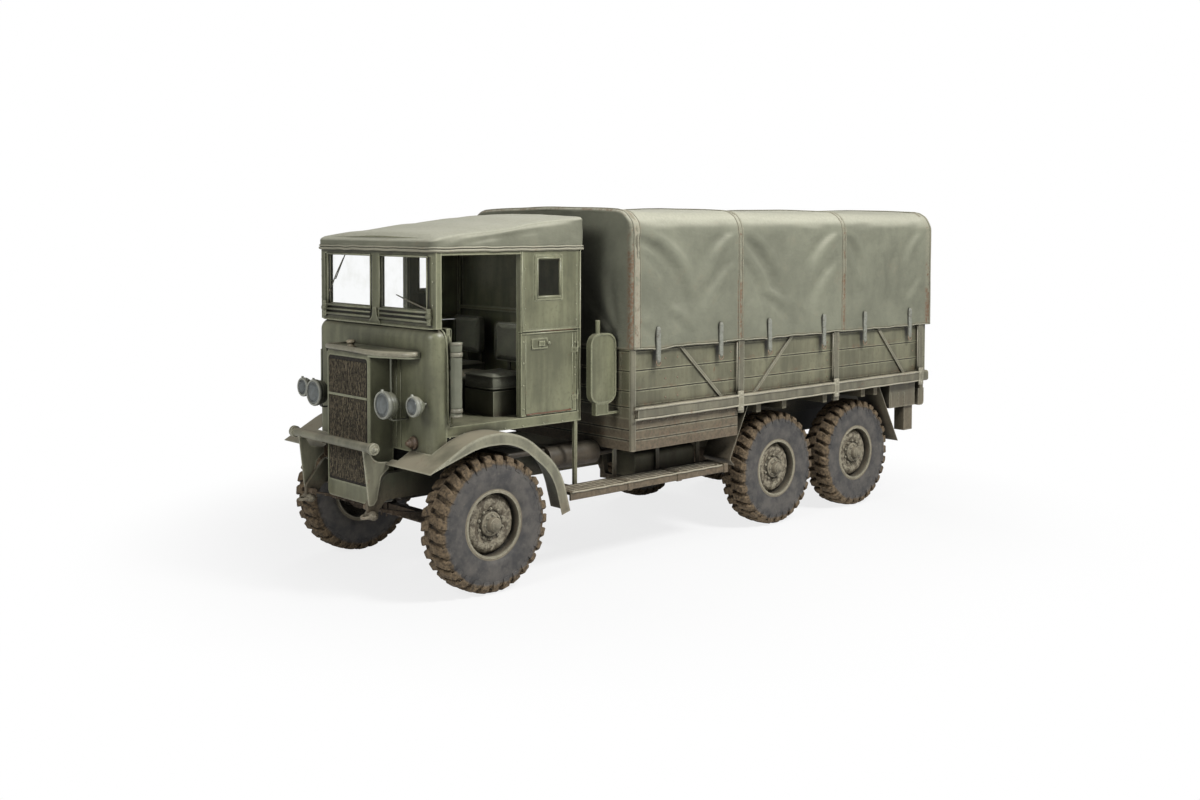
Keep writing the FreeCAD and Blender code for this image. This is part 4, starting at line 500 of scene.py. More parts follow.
def add_tube(shape, line, radius, steps=10, taper=1.0):
    """Adds a round bar along a line of points, narrowing to the taper's share at its end."""
    points = [Vector(p) for p in line]
    rings, side = [], None
    for k, point in enumerate(points):
        along = (points[min(k + 1, len(points) - 1)] - points[max(k - 1, 0)]).normalized()
        side = (side or along.orthogonal()) - along * along.dot(side or along.orthogonal())
        side.normalize()
        over = along.cross(side)
        wide = radius * (1 + (taper - 1) * k / (len(points) - 1))
        turns = (2 * math.pi * n / steps for n in range(steps))
        rings.append([shape.verts.new(point + (side * math.cos(t) + over * math.sin(t)) * wide) for t in turns])
    skinned(shape, rings)


def curve_through(corners, steps=6):
    """Points of a smooth line that rounds every corner but the first and last."""
    corners = [Vector(c) for c in corners]
    line = [corners[0]]
    for before, corner, after in zip(corners, corners[1:], corners[2:]):
        start, end = (before + corner) / 2, (corner + after) / 2
        for n in range(steps + 1):
            t = n / steps
            line.append(start * (1 - t) ** 2 + corner * 2 * t * (1 - t) + end * t * t)
    return line + [corners[-1]]


def add_block(shape, low, high, bevel=0.003, place=Matrix()):
    """Adds a block between two corners, with its edges rounded off."""
    low, high = Vector(low), Vector(high)
    made = bmesh.ops.create_cube(shape, size=1)["verts"]
    for vert in made:
        spot = Vector([low[n] + (vert.co[n] + 0.5) * (high[n] - low[n]) for n in range(3)])
        vert.co = place @ spot
    edges = list(dict.fromkeys(edge for vert in made for edge in vert.link_edges))
    bmesh.ops.bevel(shape, geom=edges, offset=bevel, segments=2, affect="EDGES", profile=0.6)


def add_rivet(shape, spot, facing, radius=0.007):
    """Adds a domed rivet head that stands out from a face."""
    turn = Vector((1, 0, 0)).rotation_difference(Vector(facing)).to_matrix().to_4x4()
    dome = [(-0.001, radius), (radius * 0.32, radius * 0.92), (radius * 0.6, radius * 0.55),
            (radius * 0.68, 0)]
    turned(shape, dome, 10, Matrix.Translation(spot) @ turn)


def finished(shape):
    bmesh.ops.recalc_face_normals(shape, faces=shape.faces)
    return shape


cowl_low, cowl_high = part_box("cab_cowl")
floor_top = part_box("cab_floor")[1].z
trim = bmesh.new()
for out in (1, -1):
    edge, rear = out * (cowl_high.x + 0.003), cowl_high.y - 0.030
    for behind, wide in ((0.0, 0.009), (-0.034, 0.007)):
        add_tube(trim, curve_through([(edge - out * 0.10, rear + behind - 0.045, cowl_high.z - 0.002),
                                      (edge - out * 0.004, rear + behind - 0.03, cowl_high.z - 0.012),
                                      (edge, rear + behind, cowl_high.z - 0.16),
                                      (edge, rear + behind, cowl_low.z + 0.23)]), wide, 8)
    for z in (0.12, 0.42, 0.72):
        add_rivet(trim, (edge - out * 0.002, rear - 0.017, cowl_low.z + z), (out, 0, 0), 0.008)
    for x in (0.36, 0.42):
        add_tube(trim, [(out * x, cowl_low.y - 0.002, cowl_low.z + 0.02),
                        (out * x, cowl_low.y - 0.002, cowl_high.z - 0.20)], 0.0035, 6)
TOP_BEAD = ((-0.80, 0.05), (-0.74, 0.012), (0, 0.012), (0.74, 0.012), (0.80, 0.05))
top_line = curve_through([(x, cowl_low.y + behind, cowl_high.z + 0.001) for x, behind in TOP_BEAD])
add_tube(trim, top_line, 0.006, 8)
piece("cowl_beads", "chassis", cab_paint, finished(trim))

rusty_steel = olive_paint("rusty_steel", (0.150, 0.098, 0.058), 0.4, 0.6, 1.4, 0.7, 0.95, 0.008, 0.7)
elbow = bmesh.new()
foot = Vector((0.60, cowl_low.y - 0.004, cowl_low.z + 0.075))
forward = Matrix.Rotation(-math.pi / 2, 4, "Z")
turned(elbow, [(-0.01, 0.052), (0.012, 0.052), (0.018, 0.044), (0.020, 0.034), (0.046, 0.034), (0.052, 0.028),
               (0.054, 0.020), (0.070, 0.019), (0.072, 0)], 20, Matrix.Translation(foot) @ forward)
for turn in range(6):
    angle = 2 * math.pi * turn / 6
    spot = foot + Vector((0.043 * math.cos(angle), -0.014, 0.043 * math.sin(angle)))
    add_nut(elbow, Matrix.Translation(spot) @ forward, 0.012, 0.008)
piece("cowl_elbow", "chassis", rusty_steel, finished(elbow))

lip = bmesh.new()
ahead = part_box("bonnet_brow")[0].y - 0.001
BROW_LINE = ((-0.325, cowl_low.y - 0.02, 0.004), (-0.335, ahead + 0.03, 0.004), (-0.24, ahead - 0.004, 0.007),
             (0.10, ahead - 0.006, 0.006), (0.34, ahead + 0.002, -0.006), (0.52, ahead + 0.075, -0.012),
             (0.665, ahead + 0.135, -0.010), (0.684, cowl_low.y - 0.03, -0.004))
add_tube(lip, curve_through([(x, y, shell_high.z + rise) for x, y, rise in BROW_LINE]), 0.021, 12)
piece("brow_lip", "chassis", olive_paint("lip_paint", (0.215, 0.200, 0.140), 0.6, 0, 0, 1.2, 0.7, 0.012),
      finished(lip))

cap = bmesh.new()
CAP_PROFILE = [(-0.004, 0.040), (0.010, 0.040), (0.016, 0.026), (0.030, 0.024), (0.034, 0.034), (0.052, 0.036),
               (0.060, 0.028), (0.064, 0.014), (0.065, 0)]
CAP_AT = Matrix.Translation((0, -3.091, shell_high.z + 0.010))
upright = Matrix.Rotation(-math.pi / 2, 4, "Y")
turned(cap, CAP_PROFILE, 20, CAP_AT @ upright)
piece("filler_cap", "chassis", olive_paint("cap_brass", (0.270, 0.225, 0.145), 0.6, 0, 0, 1.2, 0.6, 0.012),
      finished(cap))

# ---- towing shackles ---------------------------------------------------------------------------
# A forged eye and bow stand ahead of each dumb iron, with a pin through them and a nut on each of
# its ends. The iron is rough from the hammer, and its edges are worn pale with a painted highlight.
EYE_ACROSS, EYE_AHEAD, EYE_DROP = 0.462, -3.208, 0.035
EYE_PROFILE = [(-0.060, 0), (-0.060, 0.024), (-0.048, 0.030), (-0.044, 0.036), (0.044, 0.036), (0.048, 0.030),
               (0.060, 0.024), (0.060, 0)]
PIN_END, NUT_FACE = 0.040, 0.050
irons = bmesh.new()
for out in (1, -1):
    eye_at = Vector((out * EYE_ACROSS, EYE_AHEAD, shell_low.z - EYE_DROP))
    turned(irons, EYE_PROFILE, 20, Matrix.Translation(eye_at))
    bow = [eye_at + Vector((PIN_END * math.cos(t), -0.030 - 0.052 * math.sin(t), -0.010 * math.sin(t)))
           for t in (math.pi * n / 12 for n in range(13))]
    add_tube(irons, [eye_at + Vector((PIN_END, 0, 0))] + bow + [eye_at + Vector((-PIN_END, 0, 0))], 0.0125, 10)
    for end in (-1, 1):
        face = Matrix.Translation(eye_at + Vector((end * NUT_FACE, 0, 0)))
        add_nut(irons, face @ Matrix.Scale(end, 4, (1, 0, 0)), 0.022, 0.014)
forged_iron = olive_paint("forged_iron", (0.185, 0.165, 0.115), 0.6, 0.4, 1.0, 1.2, 0.8, 0.012, 0.8)
piece("towing_shackles", "chassis", forged_iron, finished(irons))

# ---- lamps -------------------------------------------------------------------------------------
# Deep pressed bowls, two large and two small. A rolled rim clamps a domed lens with raised flutes
# into each of them, and dust clouds the glass.
lamp_paint = olive_paint("lamp_paint", (0.125, 0.130, 0.092), 0.5, 0.2, 1.6, 0.9, 0.3, 0.006)
coat(lamp_paint, "lamps")
rim_paint = olive_paint("rim_paint", (0.235, 0.240, 0.200), 0.4, 0, 0, 1.0, 0.25, 0.008)


def lens_glass():
    material, wire, shader = new_material("lens_glass")
    grime = wire.cloud(26, 5, 0.65)
    colour = grime.step(0.3, 0.7).tint((0.185, 0.205, 0.205), (0.125, 0.135, 0.125))
    # Painted shade: the glass is darkened where it meets the rim and flutes.
    feed(shader, "Base Color", (wire.corner(0.02).step(0.1, 0.7) * 0.8).tint(colour, (0.03, 0.03, 0.025)))
    feed(shader, "Roughness", 0.22 + grime * 0.18)
    feed(shader, "Coat Weight", 0.5)
    return material


lens_material = lens_glass()
lamp_low, lamp_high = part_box("lamps")
LAMP_DROP, FLUTES, FLUTE_GAP = 0.395, 11, 0.15
RIM_ROLL = ((-0.020, -0.001), (-0.018, 0.004), (0.002, 0.005), (0.010, 0.001), (0.012, -0.007), (0.008, -0.014),
            (0.000, -0.015))
LAMPS = (("head", 0.507, 0.105, 0.0, 0.0), ("side", lamp_high.x - 0.076, 0.076, 0.070, 0.013))
for kind, across, radius, back, lift in LAMPS:
    lenses, rims = bmesh.new(), bmesh.new()
    for out in (1, -1):
        spot = Vector((out * across, lamp_low.y + back, shell_high.z - LAMP_DROP + lift))
        place = Matrix.Translation(spot) @ forward
        glass = radius - 0.012
        dome = [(0.002, glass), (0.010, glass * 0.86), (0.017, glass * 0.6), (0.021, glass * 0.3), (0.022, 0)]
        turned(lenses, dome, 40, place)
        for k in range(-(FLUTES // 2), FLUTES // 2 + 1):
            aside = k * glass * FLUTE_GAP
            reach = math.sqrt(max(0, (glass * 0.84) ** 2 - aside ** 2))
            flute = []
            for s in range(-4, 5):
                back_off = 0.012 * ((k * FLUTE_GAP) ** 2 + (s / 4) ** 2 * (reach / glass) ** 2)
                flute.append((spot.x + aside, spot.y - 0.0215 + back_off, spot.z + reach * s / 4))
            add_tube(lenses, flute, 0.0022, 5)
        turned(rims, [(along, radius + wider) for along, wider in RIM_ROLL], 40, place)
        add_block(rims, (-0.004, radius - 0.002, -0.008), (0.012, radius + 0.016, 0.008), 0.002,
                  place @ Matrix.Rotation(math.pi * 0.5, 4, "X"))
    piece(f"{kind}_lenses", "chassis", lens_material, finished(lenses))
    piece(f"{kind}_rims", "chassis", rim_paint, finished(rims))

# ---- cab shell and doors -----------------------------------------------------------------------
# Flat steel panels riveted to an angle frame. Each half door hangs from two barrels on the rear
# pillar, shuts on a spring latch, and has a drain seam that rusts along its foot.
coat(cab_paint, "cab_rear_shell", "cab_door_left", "cab_door_right")
box_paint = olive_paint("box_paint", (0.130, 0.132, 0.088), 0.8, 0.3, 1.6, 1.0, 0.5)
coat(box_paint, "cab_boxes")
SIDE_LIGHT = (-1.869, -1.625)
SILL_RIVETS = (-2.60, -2.40, -2.20, -2.02, -1.80, -1.60)
LATCH_RIVETS, HINGE_RIVETS = (0.06, 0.25, 0.43, 0.60), (0.10, 0.30, 0.36, 0.57)
SHELL_RIVETS = (0.05, 0.18, 0.34, 0.50)
LATCH_BOSS = [(0.008, 0.017), (0.020, 0.017), (0.027, 0.010), (0.028, 0)]
for side, out in (("left", 1), ("right", -1)):
    door_low, door_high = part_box(f"cab_door_{side}")
    face = out * (cowl_high.x + 0.0015)
    front, rear, top, sill = door_low.y, door_high.y, door_high.z, door_low.z
    door = bmesh.new()
    latch = Vector((face, front + 0.155, top - 0.088))
    near, far = sorted((face + out * 0.008, face + out * 0.020))
    add_block(door, (near, latch.y + 0.014, latch.z - 0.022), (far, latch.y + 0.078, latch.z + 0.022), 0.004)
    boss_at = Matrix.Translation((face, latch.y + 0.120, latch.z))
    turned(door, LATCH_BOSS, 16, boss_at @ Matrix.Scale(out, 4, (1, 0, 0)))
    for z in LATCH_RIVETS:
        add_rivet(door, (face, front + 0.022, sill + z), (out, 0, 0), 0.0085)
    for z in HINGE_RIVETS:
        add_rivet(door, (face, rear - 0.030, sill + z), (out, 0, 0), 0.0075)
    for y in (front + 0.045, rear - 0.055):
        add_tube(door, [(face - out * 0.001, y, sill + 0.02), (face - out * 0.001, y, top - 0.02)], 0.0032, 6)
    add_tube(door, [(face, front + 0.01, top - 0.004), (face, rear - 0.01, top - 0.004)], 0.007, 8)
    piece(f"door_trim_{side}", f"door_{side}", cab_paint, finished(door))
    rust_line = bmesh.new()
    add_tube(rust_line, [(face + out * 0.002, front + 0.20 + 0.05 * k, top + 0.010 + 0.002 * (k % 2))
                         for k in range(8)], 0.0045, 6)
    add_tube(rust_line, [(face + out * 0.0005, front + 0.05 + 0.06 * k, sill + 0.010 + 0.002 * (k % 3))
                         for k in range(9)], 0.0055, 6)
    foot_rust = olive_paint(f"foot_rust_{side}", (0.145, 0.062, 0.030), 0.2, 0.3, 1.5, 0.3, 1.0)
    piece(f"door_foot_{side}", f"door_{side}", foot_rust, finished(rust_line))

    shell_trim = bmesh.new()
    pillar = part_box("cab_rear_shell")[1].y
    upper = top + 0.018
    add_tube(shell_trim, [(face, front + 0.012, upper), (face, pillar - 0.02, upper)], 0.0085, 8)
    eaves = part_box("cab_roof")[0].z
    add_tube(shell_trim, [(face, front + 0.010, upper), (face, front + 0.010, eaves)], 0.0055, 6)
    add_tube(shell_trim, [(face, pillar - 0.012, floor_top - 0.06), (face, pillar - 0.012, eaves)], 0.008, 8)
    sill, head, (lead, trail) = upper + 0.268, upper + 0.585, SIDE_LIGHT
    rim = [(lead, sill), (trail, sill), (trail, head), (lead, head), (lead, sill)]
    for (y_near, z_near), (y_far, z_far) in zip(rim, rim[1:]):
        add_tube(shell_trim, [(face, y_near, z_near), (face, y_far, z_far)], 0.012, 8)
    for z in SHELL_RIVETS:
        add_rivet(shell_trim, (face, front + 0.040, upper + z), (out, 0, 0), 0.006)
        add_rivet(shell_trim, (face, pillar - 0.055, upper + z + 0.02), (out, 0, 0), 0.006)
    for y in SILL_RIVETS:
        add_rivet(shell_trim, (face, y, floor_top - 0.066), (out, 0, 0), 0.0075)
    piece(f"cab_beads_{side}", "chassis", cab_paint, finished(shell_trim))

# ---- windscreen --------------------------------------------------------------------------------
# A painted steel frame holds two panes of flat glass. Below each pane the sash has rolled rails, with
# a riveted plate and a turned knob at their outer end, and a wiper lies on each pane.
coat(cab_paint, "windscreen_frame")
screen_low, screen_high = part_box("windscreen_frame")
pane_low, pane_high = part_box("windscreen_glass")
PANE_IN = 0.075
# Each wiper's pivot and tip, across and above the pane's foot.
WIPERS = (((-0.700, 0.10), (-0.500, 0.378)), ((0.690, 0.008), (0.300, 0.095)))
stile = screen_low.y + 0.010
rails = bmesh.new()
for out in (1, -1):
    near, far = sorted((out * (PANE_IN - 0.012), out * (pane_high.x + 0.022)))
    for z, wide in ((pane_low.z - 0.016, 0.011), (pane_low.z - 0.052, 0.009), (pane_low.z - 0.090, 0.012)):
        add_tube(rails, [(near, screen_low.y + 0.004, z), (far, screen_low.y + 0.004, z)], wide, 10)
    for x in (out * (PANE_IN - 0.010), out * (pane_high.x + 0.012)):
        add_tube(rails, [(x, stile, pane_low.z - 0.03), (x, stile, pane_high.z + 0.012)], 0.008, 8)
    add_tube(rails, [(near, stile, pane_high.z + 0.010), (far, stile, pane_high.z + 0.010)], 0.008, 8)
    hinge = Vector((out * (pane_high.x + 0.050), screen_low.y - 0.004, pane_low.z - 0.045))
    turned(rails, [(-0.012, 0.030), (0.008, 0.030), (0.014, 0.022), (0.020, 0.020), (0.022, 0)], 16,
           Matrix.Translation(hinge) @ forward)
    add_block(rails, hinge + Vector((-0.022, -0.004, -0.070)), hinge + Vector((0.022, 0.016, 0.060)), 0.006)
    for z in (-0.050, 0.045):
        add_rivet(rails, hinge + Vector((0, -0.004, z)), (0, -1, 0), 0.008)
    for z in (0.18, 0.36, 0.50):
        add_rivet(rails, (out * (screen_high.x - 0.028), screen_low.y, screen_low.z + z), (0, -1, 0), 0.006)
piece("windscreen_rails", "chassis", cab_paint, finished(rails))


def rubber_and_wire():
    material, wire, shader = new_material("wiper_metal")
    feed(shader, "Base Color", wire.cloud(60, 4).step(0.35, 0.7).tint((0.09, 0.085, 0.06), (0.22, 0.20, 0.14)))
    feed(shader, "Roughness", 0.5 + wire.cloud(90) * 0.2)
    return material


wipers = bmesh.new()
glass_y = pane_low.y - 0.006
for pivot, tip in WIPERS:
    start = Vector((pivot[0], glass_y - 0.012, pane_low.z + pivot[1]))
    end = Vector((tip[0], glass_y - 0.004, pane_low.z + tip[1]))
    add_tube(wipers, [start, start.lerp(end, 0.5) + Vector((0, -0.006, 0)), end], 0.0055, 8, 0.7)
    blade = (end - start).normalized()
    heel = start.lerp(end, 0.35) + Vector((0, 0.009, 0))
    add_tube(wipers, [heel, end + blade * 0.03 + Vector((0, 0.003, 0))], 0.0045, 6)
    boss = [(-0.012, 0.014), (0.006, 0.014), (0.010, 0.008), (0.012, 0)]
    turned(wipers, boss, 12, Matrix.Translation(start) @ forward)
piece("wipers", "chassis", rubber_and_wire(), finished(wipers))


def pane_glass():
    material, wire, shader = new_material("pane_glass")
    feed(shader, "Base Color", wire.cloud(6, 4).step(0.4, 0.8).tint((0.96, 0.97, 0.97), (0.86, 0.87, 0.85)))
    feed(shader, "Roughness", 0.02 + wire.cloud(9, 4).step(0.5, 0.8) * 0.06)
    feed(shader, "Transmission Weight", 1.0)
    feed(shader, "IOR", 1.1)
    return material


coat(pane_glass(), "windscreen_glass")

# ---- cab roof ----------------------------------------------------------------------------------
# Proofed canvas pulled over wooden bows and laced down round the cab. The cloth drags in a ridge
# from the front corner up to the rear bow, and a doubled hem, frayed pale, runs round its foot.
coat(cab_paint, "roof_frame")


def canvas_cloth(name, tone, bleach_and_top_light=0.6, stain=0.3):
    """Stained cotton duck: top faces paler from sun fading and painted light, painted shade in folds and
    hollows, edges frayed and highlighted.
    """
    material, wire, shader = new_material(name)
    broad, blotch = wire.cloud(1.7, 4), wire.cloud(6, 5, 0.66)
    fleck = wire.cloud(44, 4, 0.7)
    threads = wire.cloud(300, 2)
    creases = wire.cloud(5, 4, 0.6, (1, 1.3, 2.6))
    weathered = (broad * 0.6 + blotch * 0.4).step(0.34, 0.66)
    colour = weathered.tint([c * 0.82 for c in tone], [c * 1.14 for c in tone])
    # Upward faces are tinted pale: partly sun fading, partly painted light falling on the top.
    sunned_and_lit = wire.facing_up().step(0.12, 0.75) * (0.75 + fleck.step(0.3, 0.7) * 0.25)
    colour = (sunned_and_lit * bleach_and_top_light).tint(colour, (0.520, 0.510, 0.405))
    colour = (blotch.step(0.56, 0.70) * fleck.step(0.40, 0.62) * stain).tint(colour, (0.20, 0.135, 0.085))
    # Painted shade: folds and tight corners in the cloth are darkened.
    colour = (wire.corner(0.08).step(0.1, 0.7) * 0.7).tint(colour, [c * 0.14 for c in tone])
    # Painted shade: a broad darkening where the cloth is hemmed in, such as the front face behind the cab.
    colour = (wire.corner(1.0).step(0.34, 0.74) * 0.82).tint(colour, [c * 0.16 for c in tone])
    # Pale edges: partly fray and partly a painted highlight along the edges.
    colour = (wire.edge(0.012).step(0.04, 0.25) * 0.5).tint(colour, [min(0.6, c * 1.9) for c in tone])
    feed(shader, "Base Color", colour)
    feed(shader, "Roughness", 0.84 - broad * 0.06)
    emboss(shader, threads * 0.12 + blotch * 0.9 + creases * 1.5, 0.45, 0.012)
    return material


def ridge(folds, along, high):
    """How far cloth stands out at a point: each fold is a drawn-up ridge with a hollow under it."""
    out = 0.0
    for start, end, bow, wide, tall in folds:
        run = Vector((end[0] - start[0], end[1] - start[1]))
        reach = run.length
        run.normalize()
        over = Vector((-run.y, run.x))
        offset = Vector((along - start[0], high - start[1]))
        share = offset.dot(run) / reach
        if not -0.25 < share < 1.25:
            continue
        aside = offset.dot(over) - bow * 4 * share * (1 - share)
        fade = max(0.0, 1 - abs(2 * share - 1) ** 3) if 0 < share < 1 else 0.0
        spread = wide * (1.3 + 1.2 * share)
        hollow = math.exp(-(((aside + 1.25 * spread) / spread) ** 2))
        out += tall * fade * (math.exp(-((aside / spread) ** 2)) - 1.15 * hollow)
    return out


def ripple(x, y, z, scale, seed):
    return noise.noise(Vector((x * scale, y * scale, z * scale + seed)))


def welded(shape):
    """Joins points that meet and turns every face outward."""
    bmesh.ops.remove_doubles(shape, verts=shape.verts, dist=0.0004)
    bmesh.ops.recalc_face_normals(shape, faces=shape.faces)
    top = max(shape.faces, key=lambda face: face.calc_center_median().z)
    if top.normal.z < 0:
        bmesh.ops.reverse_faces(shape, faces=shape.faces)
    return shape


def backed(thing, thick):
    """Gives a sheet its thickness, on its inner side."""
    solid = thing.modifiers.new("thickness", "SOLIDIFY")
    solid.thickness, solid.offset = thick, -1


roof_low, roof_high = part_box("cab_roof")
ROOF_CORNER, ROOF_BEND, ROOF_CROWN = 0.060, 0.034, 0.027
EDGE_FRONT, EDGE_REAR = roof_high.z - 0.210, roof_high.z - 0.025
ROOF_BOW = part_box("windscreen_frame")[0].y + 0.735
roof_half, roof_long = roof_high.x, roof_high.y - roof_low.y
outline = []
for turn, cx, cy in ((0, 1, 1), (1, -1, 1), (2, -1, -1), (3, 1, -1)):
    centre = Vector((cx * (roof_half - ROOF_CORNER),
                     (roof_low.y + roof_high.y) / 2 + cy * (roof_long / 2 - ROOF_CORNER)))
    for n in range(9):
        angle = (turn + n / 8) * math.pi / 2
        out = Vector((math.cos(angle), math.sin(angle)))
        outline.append((centre + out * ROOF_CORNER, out))
loop = []
for (spot, out), (spot_next, out_next) in zip(outline, outline[1:] + outline[:1]):
    parts = max(1, round((spot_next - spot).length / 0.026))
    loop += [(spot.lerp(spot_next, n / parts), out.lerp(out_next, n / parts).normalized())
             for n in range(parts)]
# Each fold: where it starts and ends, along the cloth and up it, its bow, its width and its height.
ROOF_FOLDS = [
    ((-2.86, 2.665), (-1.42, 2.85), 0.022, 0.026, 0.020), ((-2.70, 2.735), (-1.75, 2.865), 0.015, 0.022, 0.008),
    ((-2.20, 2.66), (-1.45, 2.735), 0.012, 0.024, 0.009), ((-1.70, 2.66), (-1.40, 2.80), 0.010, 0.022, 0.008)]


def roof_point(spot, out, row):
    """A point of the roof: rows 0 to 1 climb the valance, 1 to 2 bend over, 2 to 3 cross the crown."""
    share = (spot.y - roof_low.y) / roof_long
    edge = EDGE_FRONT + (EDGE_REAR - EDGE_FRONT) * share ** 0.9 + 0.006 * math.sin(share * 11)
    hem = roof_low.z + 0.005 * ripple(spot.x, spot.y, 0, 6, 3)
    lean = 0.034 * math.sin(math.pi * min(1, max(0, share * 1.06 - 0.03))) * max(0, abs(out.x) * 2 - 1)
    lean *= 1 - math.exp(-(((spot.y - ROOF_BOW) / 0.13) ** 2))
    if row <= 1:
        z = hem + (edge - ROOF_BEND - hem) * row
        crease = hem + 0.030 + (edge - ROOF_BEND - hem) * 0.72 * share
        lean *= min(1, max(0, (z - crease) / max(0.02, edge - ROOF_BEND - crease)))
        push = 0.004 * ripple(spot.x, spot.y, z, 5, 1) - 0.003
        if abs(out.x) > 0.6:
            push += ridge(ROOF_FOLDS, spot.y, z)
        else:
            push += 0.010 * math.sin(math.pi * row) * (0.4 + ripple(spot.x, spot.y, z, 4, 5))
        flat = spot + out * (min(0.015, max(-0.002, push)) - lean)
        return Vector((flat.x, flat.y, z))
    if row <= 2:
        angle = (row - 1) * math.pi / 2
        flat = spot - out * (lean + ROOF_BEND * (1 - math.cos(angle)) - 0.002 * ripple(spot.x, spot.y, 1, 7, 2))
        return Vector((flat.x, flat.y, edge - ROOF_BEND + ROOF_BEND * math.sin(angle)))
    inner = spot - out * (ROOF_BEND + lean)
    spine = Vector((0, min(max(inner.y, roof_low.y + 0.5), roof_high.y - 0.4)))
    flat = inner.lerp(spine, row - 2)
    level = EDGE_FRONT + (EDGE_REAR - EDGE_FRONT) * max(0, (flat.y - roof_low.y) / roof_long) ** 0.9
    dip = 0.005 + 0.004 * math.sin(2 * math.pi * (flat.y - roof_low.y) / 0.50)
    dip += 0.004 * ripple(flat.x, flat.y, 0, 4, 9)
    rise = ROOF_CROWN * (1 - (abs(flat.x) / roof_half) ** 2) * min(1, (row - 2) * 6)
    return Vector((flat.x, flat.y, level + rise + dip * min(1, (row - 2) * 4)))


rows = [n / 9 for n in range(9)] + [1 + n / 6 for n in range(6)] + [2 + n / 24 for n in range(25)]
roof = bmesh.new()
rings = [[roof.verts.new(roof_point(spot, out, row)) for spot, out in loop] for row in rows]
skinned(roof, rings, capped=False)
roof_cloth = canvas_cloth("roof_cloth", (0.190, 0.192, 0.138), 0.75, 0.35)
roof_sheet = piece("cab_roof_canvas", "chassis", roof_cloth, welded(roof))
backed(roof_sheet, 0.004)

hem = bmesh.new()
line = [roof_point(spot, out, 0.0) + Vector((out.x, out.y, 0)) * 0.003 for spot, out in loop]
for rise, wide in ((0.004, 0.011), (0.026, 0.008)):
    path = [p + Vector((0, 0, rise + 0.004 * noise.noise(p * 9))) for p in line]
    add_tube(hem, path + path[:1], wide, 8)
hem_cloth = canvas_cloth("hem_cloth", (0.330, 0.315, 0.235), 0.4, 0.5)
roof_hem = piece("cab_roof_hem", "chassis", hem_cloth, finished(hem))
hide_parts("cab_roof")

# ---- door curtains -----------------------------------------------------------------------------
# The canvas side screens of each doorway, rolled tight into one thick roll that stands upright. Two
# webbing straps tie it round, and a tape binds each of its ends.
roll_low, roll_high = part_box("door_curtains")
curtain_cloth = canvas_cloth("curtain_cloth", (0.175, 0.180, 0.130), 0.5, 0.3)
TIE_HEIGHTS, ROLL_RADIUS, ROLL_STEPS, ROLL_ROWS = (0.050, 0.480), 0.042, 44, 40
for side, out in (("left", 1), ("right", -1)):
    roll, collars = bmesh.new(), bmesh.new()
    centre = Vector((out * (roll_high.x - 0.050), (roll_low.y + roll_high.y) / 2, 0))
    tall = roll_high.z - roll_low.z
    ties = [height / tall for height in TIE_HEIGHTS]
    rings = []
    for k in range(ROLL_ROWS + 1):
        share = k / ROLL_ROWS
        pinch = sum(math.exp(-(((share - tie) * tall / 0.022) ** 2)) for tie in ties)
        ring = []
        for n in range(ROLL_STEPS):
            turn = 2 * math.pi * n / ROLL_STEPS
            lap = 0.004 * ((n / ROLL_STEPS + 0.12) % 1.0)
            radius = ROLL_RADIUS + lap - 0.006 * pinch
            radius += 0.003 * ripple(math.cos(turn), math.sin(turn), share * 3, 1.6, 6)
            radius *= 0.86 if k in (0, ROLL_ROWS) else 1.0
            ring.append(roll.verts.new(centre + Vector((radius * math.cos(turn), radius * math.sin(turn),
                                                        roll_low.z + tall * share))))
        rings.append(ring)
    skinned(roll, rings)
    rolled = piece(f"curtain_roll_{side}", "chassis", curtain_cloth, finished(roll))
    for share in (*ties, 0.985, 0.015):
        wide, proud = (0.016, 0.043) if share in ties else (0.010, 0.041)
        band = [(-wide, proud - 0.004), (-wide, proud + 0.004), (0, proud + 0.005), (wide, proud + 0.004),
                (wide, proud - 0.004)]
        round_at = Matrix.Translation(centre + Vector((0, 0, roll_low.z + tall * share)))
        turned(collars, band, 28, round_at @ upright)
    strap_cloth = olive_paint(f"curtain_strap_{side}", (0.20, 0.19, 0.14), 0.2)
    piece(f"curtain_straps_{side}", "chassis", strap_cloth, finished(collars))
    if side == "left":
        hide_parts("door_curtains")

# ---- seats and steering ------------------------------------------------------------------------
# Leathercloth pads stuffed with horsehair on steel boxes, piped round their seams, and a black
# wheel on a slanting column.
coat(cab_paint, "steering_column")
coat(olive_paint("wheel_rim", (0.030, 0.030, 0.028), 0.2, 0, 0, 0.2, 0.1), "steering_wheel")
leathercloth = canvas_cloth("leathercloth", (0.140, 0.142, 0.105), 0.25, 0.3)


